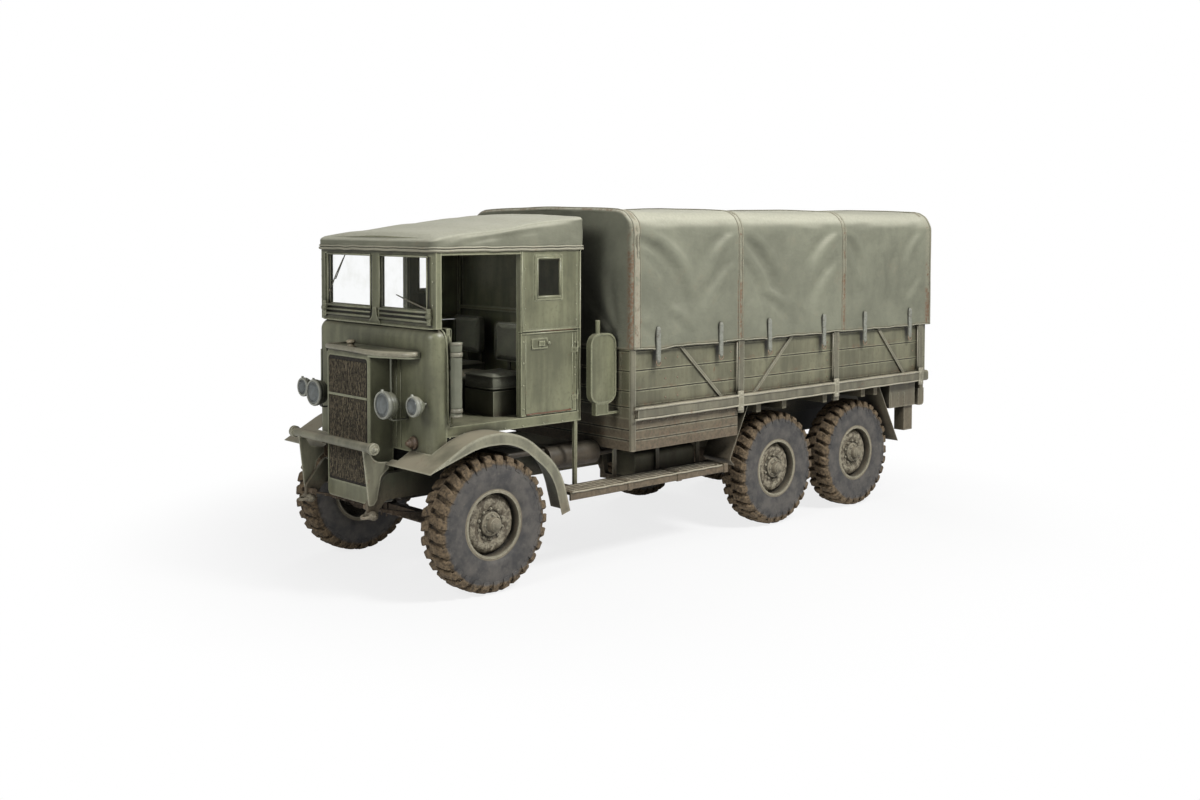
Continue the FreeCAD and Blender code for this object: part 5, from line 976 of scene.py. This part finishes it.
def stuffed(name, low, high, crown, up):
    """A pad blown up from a slack block by a cloth simulation."""
    low, high = Vector(low), Vector(high)
    middle_at, half = (low + high) / 2, (high - low) / 2
    shape = bmesh.new()
    add_block(shape, -half * 0.97, half * 0.97, 0.030)
    mesh = bpy.data.meshes.new(name)
    shape.to_mesh(mesh)
    shape.free()
    pad = bpy.data.objects.new(name, mesh)
    bpy.context.scene.collection.objects.link(pad)
    pad.location = middle_at
    bpy.context.view_layer.objects.active = pad
    grid = pad.modifiers.new("grid", "REMESH")
    grid.mode, grid.voxel_size = "VOXEL", 0.006
    bpy.ops.object.modifier_apply(modifier="grid")
    held = pad.vertex_groups.new(name="held")
    flat = 1 if up == "Z" else 2
    for vert in pad.data.vertices:
        foot = vert.co.z < -half.z * 0.80 if up == "Z" else vert.co.y > half.y * 0.80
        if foot:
            held.add([vert.index], 1.0, "REPLACE")
    cloth = pad.modifiers.new("cloth", "CLOTH")
    cloth.settings.use_pressure = True
    cloth.settings.uniform_pressure_force = 4
    cloth.settings.effector_weights.gravity = 0
    cloth.settings.vertex_group_mass = "held"
    cloth.point_cache.frame_end = 20
    before = [vert.co.copy() for vert in pad.data.vertices]
    for step in range(1, 21):
        bpy.context.scene.frame_set(step)
    blown = pad.evaluated_get(bpy.context.evaluated_depsgraph_get())
    after = [vert.co.copy() for vert in blown.data.vertices]
    pad.modifiers.remove(cloth)
    bpy.context.scene.frame_set(1)
    for vert, start, end in zip(pad.data.vertices, before, after):
        move = end - start
        move.length = min(move.length, crown)
        vert.co = start + move
        for axis in range(3):
            vert.co[axis] = min(max(vert.co[axis], -half[axis] - crown * (axis != flat)), half[axis] + crown)
    pad.data.polygons.foreach_set("use_smooth", [True] * len(pad.data.polygons))
    pad.data.materials.append(leathercloth)
    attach(pad, "chassis")
    return pad


BOX_TALL, PAD_CROWN, PIPING = 0.205, 0.007, 0.0045
box_top = floor_top + BOX_TALL
SEATS = (("near", 0.25, -2.185), ("far", -0.65, -1.945))
piping = bmesh.new()
for label, inner, front in SEATS:
    cushion = stuffed(f"seat_pad_{label}", (inner, front, box_top + 0.001),
                      (inner + 0.40, front + 0.398, box_top + 0.134), PAD_CROWN, "Z")
    rest = stuffed(f"seat_rest_{label}", (inner + 0.012, front + 0.322, box_top + 0.205),
                   (inner + 0.388, front + 0.397, box_top + 0.535), PAD_CROWN, "Y")
    for z in (0.022, 0.118):
        ring = [(inner + 0.03, front + 0.002), (inner + 0.37, front + 0.002), (inner + 0.398, front + 0.03),
                (inner + 0.398, front + 0.37), (inner + 0.37, front + 0.396), (inner + 0.03, front + 0.396),
                (inner + 0.002, front + 0.37), (inner + 0.002, front + 0.03)]
        path = [Vector((x, y, box_top + z)) for x, y in ring]
        add_tube(piping, path + path[:1], PIPING, 6)
    ring = [(inner + 0.04, 0.212), (inner + 0.36, 0.212), (inner + 0.384, 0.24), (inner + 0.384, 0.50),
            (inner + 0.36, 0.53), (inner + 0.04, 0.53), (inner + 0.016, 0.50), (inner + 0.016, 0.24)]
    path = [Vector((x, front + 0.328, box_top + z)) for x, z in ring]
    add_tube(piping, path + path[:1], PIPING, 6)
    if label == "near":
        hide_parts("seat_cushions")
        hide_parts("seat_backs")
piece("seat_piping", "chassis", leathercloth, finished(piping))

# ---- cargo body --------------------------------------------------------------------------------
# Hardwood planks bolted to steel posts, painted together, with mud thrown up along the lowest
# boards. Carriage bolts go through each board at each post, and their heads weep rust.


def reopened(material):
    """A finished material's wire, shader and colour, for a further layer over it."""
    shader = material.node_tree.nodes["Principled BSDF"]
    colour = Wire(material.node_tree, shader.inputs["Base Color"].links[0].from_socket)
    return Wire(material.node_tree), shader, colour


def planked(name, tone, joints, mud):
    """Painted boards: the joints between them are dark, their edges worn pale with a painted highlight, and
    rusty.
    """
    material = olive_paint(name, tone, 0.4, mud, 1.5, 0.7, 0.7, 0.008, 0.6)
    wire, shader, colour = reopened(material)
    fleck, blotch = wire.cloud(38, 4, 0.7), wire.cloud(7, 4, 0.66, (1, 1, 2))
    for joint in joints:
        above = wire.height() - joint + (blotch - 0.5) * 0.006
        off = wire.node("Math", {"operation": "ABSOLUTE"}, {0: above})
        # Pale board edges beside each joint: partly worn paint and partly a painted highlight.
        pale = off.step(0.019, 0.008) * fleck.step(0.34, 0.56)
        colour = (pale * 0.55).tint(colour, [min(0.6, c * 1.8 + 0.03) for c in tone])
        stain = above.step(0.075, 0.004) * above.step(-0.004, 0.004)
        stain = stain * blotch.step(0.50, 0.66) * fleck.step(0.42, 0.60)
        colour = (stain * 0.8).tint(colour, (0.150, 0.088, 0.050))
        colour = (off.step(0.0062, 0.0035) * 0.93).tint(colour, (0.018, 0.016, 0.010))
    feed(shader, "Base Color", colour)
    return material


wood_paint = olive_paint("wood_paint", (0.158, 0.156, 0.100), 0.4, 0.55, 1.55, 0.7, 0.75, 0.008, 0.6)
coat(wood_paint, "cargo_floor", "body_runners", "body_bearers")
BOARD_JOINTS, SKIRT_JOINTS = (1.312, 1.447, 1.615, 1.783), (1.118, 1.030)
board_paintwork = planked("board_paintwork", (0.165, 0.160, 0.102), BOARD_JOINTS, 0.5)
coat(board_paintwork, "side_planks", "headboard", "tailgate")
coat(planked("skirt_paint", (0.150, 0.142, 0.096), SKIRT_JOINTS, 0.75), "skirt_panels")
body_steel = olive_paint("body_steel", (0.165, 0.155, 0.108), 0.9, 0.5, 1.35, 1.1, 0.85, 0.010)
coat(body_steel, "side_framing", "gate_hinges", "tilt_hoops", "bogie_mudguards", "tail_fittings")
POSTS, FRONT_POST, BOLT_ROWS = (0.280, 1.690, 3.138), -0.560, (1.365, 1.525, 1.700, 1.825)
SKIRT_FACE, SKIRT_FRONT, SKIRT_PITCH = 1.094, -0.93, 0.097
fittings = bmesh.new()
for out in (1, -1):
    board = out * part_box("side_planks")[1].x
    for post in (*POSTS, FRONT_POST):
        for z in BOLT_ROWS:
            for aside in (-0.075, 0.075):
                add_rivet(fittings, (board, post + aside, z), (out, 0, 0), 0.0085)
    for k in range(13):
        for z, radius in ((1.178, 0.007), (0.962, 0.006)):
            add_rivet(fittings, (out * SKIRT_FACE, SKIRT_FRONT + SKIRT_PITCH * k, z), (out, 0, 0), radius)
# A half-round strip caps the rub rail, and a clamp ties it to each post.
capping = bmesh.new()
frame_low, frame_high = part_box("side_framing")
CAPPING_STEP = 0.11
for out in (1, -1):
    rail = out * (frame_high.x - 0.002)
    for z, wide in ((1.300, 0.011), (1.210, 0.008)):
        line = [(rail, frame_low.y + 0.012 + CAPPING_STEP * n, z + 0.0015 * math.sin(n * 1.7))
                for n in range(int((frame_high.y - frame_low.y) / CAPPING_STEP))]
        add_tube(capping, line, wide, 8)
    for post in POSTS:
        near, far = sorted((rail - out * 0.016, rail + out * 0.012))
        add_block(capping, (near, post - 0.036, 1.165), (far, post + 0.036, 1.345), 0.010)
        for z in (1.195, 1.318):
            add_rivet(capping, (rail + out * 0.011, post, z), (out, 0, 0), 0.011)
        add_tube(capping, [(out * 1.099, post - 0.022, 1.33), (out * 1.099, post - 0.022, 1.79)], 0.005, 6)
capping_paint = olive_paint("capping_paint", (0.215, 0.200, 0.145), 0.8, 0.3, 1.3, 1.2, 0.9, 0.012)
piece("rail_capping", "chassis", capping_paint, finished(capping))
gate_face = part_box("tailgate")[1].y - 0.001
for z in (1.37, 1.57, 1.77):
    for x in (-0.95, -0.5, 0, 0.5, 0.95):
        add_rivet(fittings, (x, gate_face, z), (0, 1, 0), 0.009)
piece("body_bolts", "chassis", rusty_steel, finished(fittings))

# ---- tilt canvas -------------------------------------------------------------------------------
# One cover of heavy proofed duck, sewn from panels and drawn down over four hoops. It hangs slack
# between them, drags in folds from each hoop's shoulder, and its seams have rubbed rusty and frayed.
tilt_low, tilt_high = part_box("tilt_canvas")
HOOPS = (-1.033, 0.295, 1.825, 3.223)
STRAPS = (-0.765, 0.025, 0.695, 1.505, 2.165, 2.945)
CORNER, CROWN, FRONT_BEND = 0.200, 0.025, 0.030
# The far side has the same folds the other way along: its places count back from this length.
FAR_SIDE = 2.19
TILT_FOLDS = [
    ((-1.00, 2.80), (-0.28, 2.20), 0.12, 0.042, 0.034), ((-0.98, 2.66), (-0.42, 2.20), 0.08, 0.030, 0.014),
    ((-0.99, 2.05), (-0.70, 1.88), 0.03, 0.026, 0.016), ((0.27, 2.78), (-0.16, 2.34), -0.07, 0.034, 0.017),
    ((0.26, 2.52), (-0.20, 1.98), -0.06, 0.030, 0.014), ((-0.66, 2.14), (-0.20, 1.86), 0.03, 0.028, 0.012),
    ((0.32, 2.79), (0.92, 2.24), 0.10, 0.036, 0.024), ((0.33, 2.58), (0.72, 2.10), 0.06, 0.030, 0.014),
    ((0.62, 2.24), (1.16, 1.90), 0.05, 0.032, 0.018), ((1.80, 2.78), (1.30, 2.30), -0.08, 0.034, 0.020),
    ((1.79, 2.50), (1.36, 2.02), -0.05, 0.030, 0.014), ((1.10, 2.10), (1.45, 1.88), 0.02, 0.028, 0.010),
    ((1.85, 2.78), (2.26, 2.34), 0.07, 0.032, 0.020), ((1.86, 2.56), (2.12, 2.16), 0.04, 0.028, 0.013),
    ((2.42, 2.66), (2.50, 1.98), 0.05, 0.036, 0.011), ((2.78, 2.60), (2.72, 1.95), -0.04, 0.036, 0.010),
    ((3.20, 2.78), (2.86, 2.36), -0.05, 0.030, 0.015), ((3.19, 2.30), (2.90, 1.92), -0.03, 0.028, 0.012)]


def hang(y):
    """How slack the cloth is: 0 over a hoop, 1 halfway between two of them."""
    for near, far in zip(HOOPS, HOOPS[1:]):
        if near <= y <= far:
            share = (y - near) / (far - near)
            return (4 * share * (1 - share)) ** 0.75
    return 0.0


half, shoulder = tilt_high.x, tilt_high.z - CROWN
side_rows, bend_rows, top_rows = 40, 12, 44
arch_rows = [("side", n / side_rows) for n in range(side_rows)]
arch_rows += [("bend", n / bend_rows) for n in range(bend_rows)]
arch_rows += [("top", n / top_rows) for n in range(top_rows // 2)]


def tilt_point(y, kind, share, out, inset=0.0):
    """A point of the cover at one place along it: up the side, round the shoulder or over the top."""
    foot = tilt_low.z + 0.008 + 0.020 * ripple(0, y, 0, 2.1, out * 4) + 0.009 * ripple(0, y, 0, 8, out)
    foot -= 0.010 * max(math.exp(-(((y - strap) / 0.05) ** 2)) for strap in STRAPS)
    slack = hang(y)
    if kind == "side":
        z = foot + (shoulder - CORNER - foot) * share
        level = min(1.0, max(0.0, (z - 1.88) / 0.30))
        pull = max(math.exp(-(((y - strap) / 0.055) ** 2)) for strap in STRAPS)
        pull *= max(0.0, 1 - abs(z - 1.93) / 0.16)
        folds = ridge(TILT_FOLDS, y if out > 0 else FAR_SIDE - y, z)
        push = -0.018 * slack * level + folds * (0.35 + 0.65 * level) - 0.006 * pull - inset
        waves = 0.006 * ripple(0, y, z, 3.2, 7 * out) + 0.0025 * ripple(0, y, z, 9, 2)
        push += waves * (0.3 + 0.7 * slack) * (0.3 + 0.7 * level)
        seam = min(abs(y - hoop) for hoop in HOOPS[1:3])
        push += 0.004 * math.exp(-((seam / 0.035) ** 2))
        limit = 0.0 if z < 2.02 else 0.013
        return Vector((out * (half + min(push, limit - inset)), y, z))
    if kind == "bend":
        angle = share * math.pi / 2
        fade = 1 - math.sin(angle) * 0.5
        push = -0.020 * slack + 0.005 * ripple(angle, y, out, 3, 5) - inset
        push += ridge(TILT_FOLDS, y if out > 0 else FAR_SIDE - y, shoulder - CORNER) * fade * (1 - share)
        radius = CORNER + push
        x = half - CORNER + radius * math.cos(angle)
        return Vector((out * x, y, shoulder - CORNER + radius * math.sin(angle)))
    x = (half - CORNER) * (1 - share * 2)
    across = abs(x) / (half - CORNER)
    drop = 0.020 * slack + 0.016 * slack * (1 - across ** 2) - 0.005 * ripple(x, y, 0, 2.6, 3)
    drop += 0.004 * math.sin(y * 9 + 2 * out) * slack * across
    return Vector((out * x, y, shoulder + CROWN * (1 - across ** 2) - drop - inset))


def arch(y, inset=0.0):
    left = [tilt_point(y, kind, share, 1, inset) for kind, share in arch_rows]
    right = [tilt_point(y, kind, share, -1, inset) for kind, share in arch_rows]
    peak = (tilt_point(y, "top", 0.5, 1, inset) + tilt_point(y, "top", 0.5, -1, inset)) / 2
    return left + [peak] + list(reversed(right))


cover = bmesh.new()
start = tilt_low.y + FRONT_BEND
count = round((tilt_high.y - start) / 0.0245)
stations = [start + (tilt_high.y - start) * n / count for n in range(count + 1)]
arches = [arch(y) for y in reversed(stations)]
for n in range(1, 6):
    angle = n / 5 * math.pi / 2
    bent = arch(start, FRONT_BEND * (1 - math.cos(angle)))
    arches.append([Vector((p.x, start - FRONT_BEND * math.sin(angle), p.z)) for p in bent])
rings = [[cover.verts.new(p) for p in line] for line in arches]
for near, far in zip(rings, rings[1:]):
    for n in range(len(near) - 1):
        cover.faces.new((near[n], near[n + 1], far[n + 1], far[n]))

# The front end is laced inside the first hoop, and drags down to the near corner of the body.
TACK = Vector((0.98, 1.84))
front_ring, columns = rings[-1], 64
strips = []
for n in range(len(front_ring) // 2):
    left, right = front_ring[n], front_ring[-1 - n]
    strip = [left]
    for k in range(1, columns):
        spot = left.co.lerp(right.co, k / columns)
        offset = Vector((spot.x, spot.z)) - TACK
        reach, angle = offset.length, math.atan2(offset.y, -offset.x)
        inside = min(1.0, 8 * min(k / columns, 1 - k / columns)) * min(1.0, (tilt_high.z - spot.z) / 0.12)
        drag = math.sin(angle * 13 + 2.2 * noise.noise(Vector((angle * 2, reach, 4))))
        depth = 0.017 * drag * math.exp(-reach / 1.1) * min(1, reach / 0.12)
        depth += 0.006 * ripple(spot.x, 0, spot.z, 2.5, 8)
        depth += 0.012 * math.exp(-((reach / 0.3) ** 2))
        strip.append(cover.verts.new(Vector((spot.x, spot.y - (depth - 0.004) * inside, spot.z))))
    strips.append(strip + [right])
for near, far in zip(strips, strips[1:]):
    for k in range(columns):
        cover.faces.new((near[k], far[k], far[k + 1], near[k + 1]))
peak = front_ring[len(front_ring) // 2]
for k in range(columns):
    cover.faces.new((strips[-1][k], strips[-1][k + 1], peak))


# Each worn seam: where it crosses the cover, its half width, and between which noise levels it rusts.
WORN_SEAMS = ((0.295, 0.034, 0.46, 0.58), (1.825, 0.030, 0.46, 0.58), (-1.035, 0.055, 0.36, 0.50),
              (3.290, 0.050, 0.50, 0.60))


def seamed_cloth():
    """The tilt's duck, with rust and fray in bands along its sewn seams and grime along its foot."""
    material = canvas_cloth("tilt_cloth", (0.186, 0.190, 0.138), 0.85, 0.2)
    wire, shader, colour = reopened(material)
    place = wire.node("TexCoord", out="Object")
    along = wire.node("SeparateXYZ", None, {0: place}, "Y")
    across = wire.node("Math", {"operation": "ABSOLUTE"}, {0: wire.node("SeparateXYZ", None, {0: place}, "X")})
    outer = wire.sum("MAXIMUM", across.step(1.035, 1.075), wire.facing_up().step(0.2, 0.5) * 0.7)
    rough, fleck = wire.cloud(9, 5, 0.7), wire.cloud(50, 4, 0.7)
    for seam, wide, low, high in WORN_SEAMS:
        off = wire.node("Math", {"operation": "ABSOLUTE"}, {0: along - seam})
        band = off.step(wide * 1.6, wide * 0.5) * outer
        colour = (band * 0.35 * fleck.step(0.30, 0.60)).tint(colour, (0.36, 0.33, 0.24))
        lower = (wire.height().step(2.7, 1.9) - 0.5) * 0.14
        worn = band * (rough + lower).step(low, high) * fleck.step(0.36, 0.56)
        colour = (worn * 0.85).tint(colour, (0.155, 0.078, 0.040))
    foot = (wire.height() + rough * 0.10).step(1.885, 1.835) * fleck.step(0.30, 0.52)
    colour = (foot * 0.7).tint(colour, (0.27, 0.225, 0.15))
    strip = wire.node("Math", {"operation": "ABSOLUTE"}, {0: along + 1.005}).step(0.042, 0.034)
    colour = (strip * 0.55 * rough.step(0.35, 0.5)).tint(colour, (0.42, 0.405, 0.31))
    feed(shader, "Base Color", colour)
    return material


tilt = piece("tilt_cover", "chassis", seamed_cloth(), welded(cover))
backed(tilt, 0.004)

seams = bmesh.new()
CORDS = ((-1.045, 0.006), (-0.968, 0.005), (0.272, 0.006), (0.318, 0.005), (1.802, 0.006), (1.848, 0.005),
         (tilt_high.y - 0.006, 0.009))
for y, wide in CORDS:
    lifted = [Vector((p.x * 1.001, p.y + 0.004 * noise.noise(p * 5), p.z + (0.002 if p.z > shoulder else 0)))
              for p in arch(y)]
    add_tube(seams, lifted, wide, 6)
for out in (1, -1):
    edge = [tilt_point(y, "side", 0.0, out) + Vector((out * 0.001, 0, 0.004)) for y in stations[::2]]
    add_tube(seams, edge, 0.0065, 6)
fray_cloth = canvas_cloth("fray_cloth", (0.225, 0.215, 0.155), 0.7, 0.9)
seam_piece = piece("tilt_seams", "chassis", fray_cloth, finished(seams))
flat_wide = 2 * (shoulder - CORNER - tilt_low.z) + math.pi * CORNER + 2 * (half - CORNER)
face_tall = tilt_high.z - tilt_low.z
cut_area = flat_wide * (tilt_high.y - tilt_low.y) + 2 * half * face_tall
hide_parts("tilt_canvas")

# ---- tilt straps -------------------------------------------------------------------------------
# Webbing loops folded double, with a rounded top and a thick selvedge up each edge, and a bent steel
# hook at the foot that catches under the body's rail.
strap_low, strap_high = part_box("tilt_straps")


def webbing_cloth():
    material, wire, shader = new_material("webbing")
    weave = wire.cloud(30, 4, 0.6, (1, 1, 9))
    grime = wire.cloud(24, 5, 0.7)
    colour = weave.step(0.3, 0.7).tint((0.175, 0.180, 0.150), (0.285, 0.290, 0.245))
    colour = (grime.step(0.52, 0.68) * 0.6).tint(colour, (0.11, 0.085, 0.058))
    # Painted shade: tight corners of the webbing are darkened nearly to black.
    colour = (wire.corner(0.03).step(0.1, 0.7) * 0.8).tint(colour, (0.03, 0.03, 0.024))
    feed(shader, "Base Color", colour)
    feed(shader, "Roughness", 0.62 + grime * 0.2)
    emboss(shader, weave * 0.6 + grime, 0.5, 0.004)
    return material


# Shares of a strap's depth and of half its width, round its section.
STRAP_SECTION = [(0, -1.0), (0.62, -1.0), (0.94, -0.74), (1.0, -0.4), (0.93, 0), (1.0, 0.4), (0.94, 0.74),
                 (0.62, 1.0), (0, 1.0)]
# A hook's bends: out from the strap, along the body and up.
HOOK_LINE = ((0, -0.024, 0.018), (0.004, -0.026, -0.014), (0.002, 0, -0.030), (0.004, 0.026, -0.014),
             (0, 0.024, 0.018))
webbing = webbing_cloth()
straps = bmesh.new()
hooks = bmesh.new()
for out in (1, -1):
    for number, y in enumerate(STRAPS):
        tilt_by = 0.010 * noise.noise(Vector((number * 1.7, out, 2)))
        face, tall = half + 0.0008, strap_high.z - strap_low.z
        rows = []
        for k in range(25):
            share = k / 24
            z = strap_low.z + 0.004 + (tall - 0.008) * share
            wide = 0.0235 * (1 - 0.45 * max(0, (share - 0.9) / 0.1) ** 2)
            wide *= 1 - 0.25 * max(0, (0.08 - share) / 0.08)
            thick = 0.0215 * (1 - 0.5 * max(0, (share - 0.93) / 0.07) ** 2)
            thick *= (1 - 0.18 * math.exp(-(((share - 0.62) / 0.05) ** 2))
                      - 0.12 * math.exp(-(((share - 0.25) / 0.05) ** 2)))
            centre = y + tilt_by * (share - 0.5) + 0.0015 * noise.noise(Vector((number, z * 14, out)))
            rows.append([straps.verts.new((out * (face + thick * deep), centre + wide * aside, z))
                         for deep, aside in STRAP_SECTION])
        skinned(straps, rows, capped=False)
        straps.faces.new(rows[0])
        straps.faces.new(list(reversed(rows[-1])))
        foot = Vector((out * (face + 0.008), y - tilt_by / 2, strap_low.z))
        bends = [foot + Vector((out * proud, aside, rise)) for proud, aside, rise in HOOK_LINE]
        add_tube(hooks, curve_through(bends, 4), 0.0048, 7)
strap_set = piece("tilt_webbing", "chassis", webbing, finished(straps))
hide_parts("tilt_straps")
piece("strap_hooks", "chassis", rusty_steel, finished(hooks))

# ---- running board edges -----------------------------------------------------------------------
# A rolled steel angle holds the boards' outer edge, and raised strips along them give a foothold.
# Domed coach bolts hold the boards down to their brackets.
board_low, board_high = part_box("running_boards")
BOARD_TOP = 0.680
STRIPS = (0.855, 0.905, 0.955, 1.000)
COACH_BOLTS = (-1.64, -1.30, -0.90, -0.70, -0.30, -0.10, 0.09)
edges = bmesh.new()
for out in (1, -1):
    rim = [(out * (board_high.x - 0.004), board_low.y + 0.012 + 0.06 * n,
            BOARD_TOP - 0.004 + 0.002 * math.sin(n * 1.9))
           for n in range(int((board_high.y - board_low.y) / 0.06))]
    add_tube(edges, rim, 0.0075, 8)
    for x in STRIPS:
        strip = [(out * x, board_low.y + 0.02 + 0.07 * n,
                  BOARD_TOP + 0.001 + 0.0015 * math.sin(n * 2.3 + x * 90))
                 for n in range(int((board_high.y - board_low.y - 0.03) / 0.07))]
        add_tube(edges, strip, 0.0045, 6)
    for y in COACH_BOLTS:
        for x in (board_high.x - 0.03, board_high.x - 0.20):
            add_rivet(edges, (out * x, y, BOARD_TOP - 0.001), (0, 0, 1), 0.009)
board_edge_paint = olive_paint("board_edge_paint", (0.225, 0.205, 0.145), 0.8, 0.35, 0.9, 1.2, 0.8, 0.012)
piece("board_edges", "chassis", board_edge_paint, finished(edges))

# ---- tanks -------------------------------------------------------------------------------------
# Pressed steel halves seam-welded together: a long tank beside the frame and a narrow upright one
# behind the cab. Steel straps hold them down, and each is filled through a screwed cap.
coat(olive_paint("tank_paint", OLIVE, 0.4, 0.5, 1.15, 0.9, 0.4), "fuel_tank", "side_tank")

# ---- studio ------------------------------------------------------------------------------------
# A white floor that keeps a soft shadow, a large lamp high over the near side, two weaker ones ahead
# and behind, a pale world round them all, and the camera.


def studio_lamp(name, place, aim, size, power):
    data = bpy.data.lights.new(name, "AREA")
    data.shape = "DISK"
    data.size, data.energy = size, power
    thing = bpy.data.objects.new(name, data)
    thing.location = place
    thing.rotation_euler = (Vector(aim) - Vector(place)).to_track_quat("-Z", "Y").to_euler()
    bpy.context.scene.collection.objects.link(thing)


def seen_directly(wire):
    """1 for what the camera sees, also through glass, and a part of that in reflections."""
    rays = [wire.node("LightPath", out=f"Is {kind} Ray") for kind in ("Camera", "Glossy", "Transmission")]
    return wire.sum("MAXIMUM", wire.sum("MAXIMUM", rays[0], rays[1] * 0.35), rays[2])


middle = (cad_low + cad_high) / 2
studio_lamp("key", (8.0, 1.0, 9.5), middle, 3.0, 1230)
studio_lamp("front", (3.0, -11.0, 6.5), middle, 4.0, 420)
studio_lamp("back", (-8.0, 6.0, 7.0), middle, 5.0, 260)

ground = bmesh.new()
bmesh.ops.create_grid(ground, x_segments=1, y_segments=1, size=60)
floor_material, wire, shader = new_material("studio_floor")
feed(shader, "Base Color", (0.80, 0.80, 0.80, 1))
feed(shader, "Roughness", 0.9)
place = wire.node("TexCoord", out="Object")
far_off = wire.node("VectorMath", {"operation": "LENGTH"}, {0: place}, "Value").step(2.8, 5.2)
white = wire.node("Emission", None, {"Color": (1, 1, 1, 1), "Strength": 1.0})
share = seen_directly(wire) * (0.80 + far_off * 0.20)
tree = floor_material.node_tree
mixed = wire.node("MixShader", None, {0: share, 1: Wire(tree, shader.outputs[0]), 2: white})
tree.links.new(mixed.socket, tree.nodes["Material Output"].inputs["Surface"])
mesh = bpy.data.meshes.new("studio_floor")
ground.to_mesh(mesh)
ground.free()
mesh.materials.append(floor_material)
floor = bpy.data.objects.new("studio_floor", mesh)
floor.location.z = -0.0005
bpy.context.scene.collection.objects.link(floor)
floor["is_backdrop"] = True

world = bpy.data.worlds.new("studio")
world.use_nodes = True
sky = Wire(world.node_tree)
lit = world.node_tree.nodes["Background"]
feed(lit, "Strength", 0.14 + seen_directly(sky) * 0.86)
feed(lit, "Color", (1, 1, 1, 1))
bpy.context.scene.world = world

VIEWPOINT = (8.970, -8.660, 2.857)
YAW, PITCH, ROLL = 0.821, -0.042, -0.002
camera = bpy.data.cameras.new("camera")
camera.lens, camera.sensor_width = 39.4, 36.0
camera.shift_x, camera.shift_y = -0.0072, -0.1013
eye = bpy.data.objects.new("camera", camera)
eye.location = VIEWPOINT
ahead = Vector((-math.sin(YAW) * math.cos(PITCH), math.cos(YAW) * math.cos(PITCH), math.sin(PITCH)))
aimed = ahead.to_track_quat("-Z", "Y").to_matrix().to_4x4()
eye.rotation_euler = (Matrix.Rotation(ROLL, 4, ahead) @ aimed).to_euler()
bpy.context.scene.collection.objects.link(eye)
bpy.context.scene.camera = eye
bpy.context.scene.view_settings.view_transform = "Standard"

low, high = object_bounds()
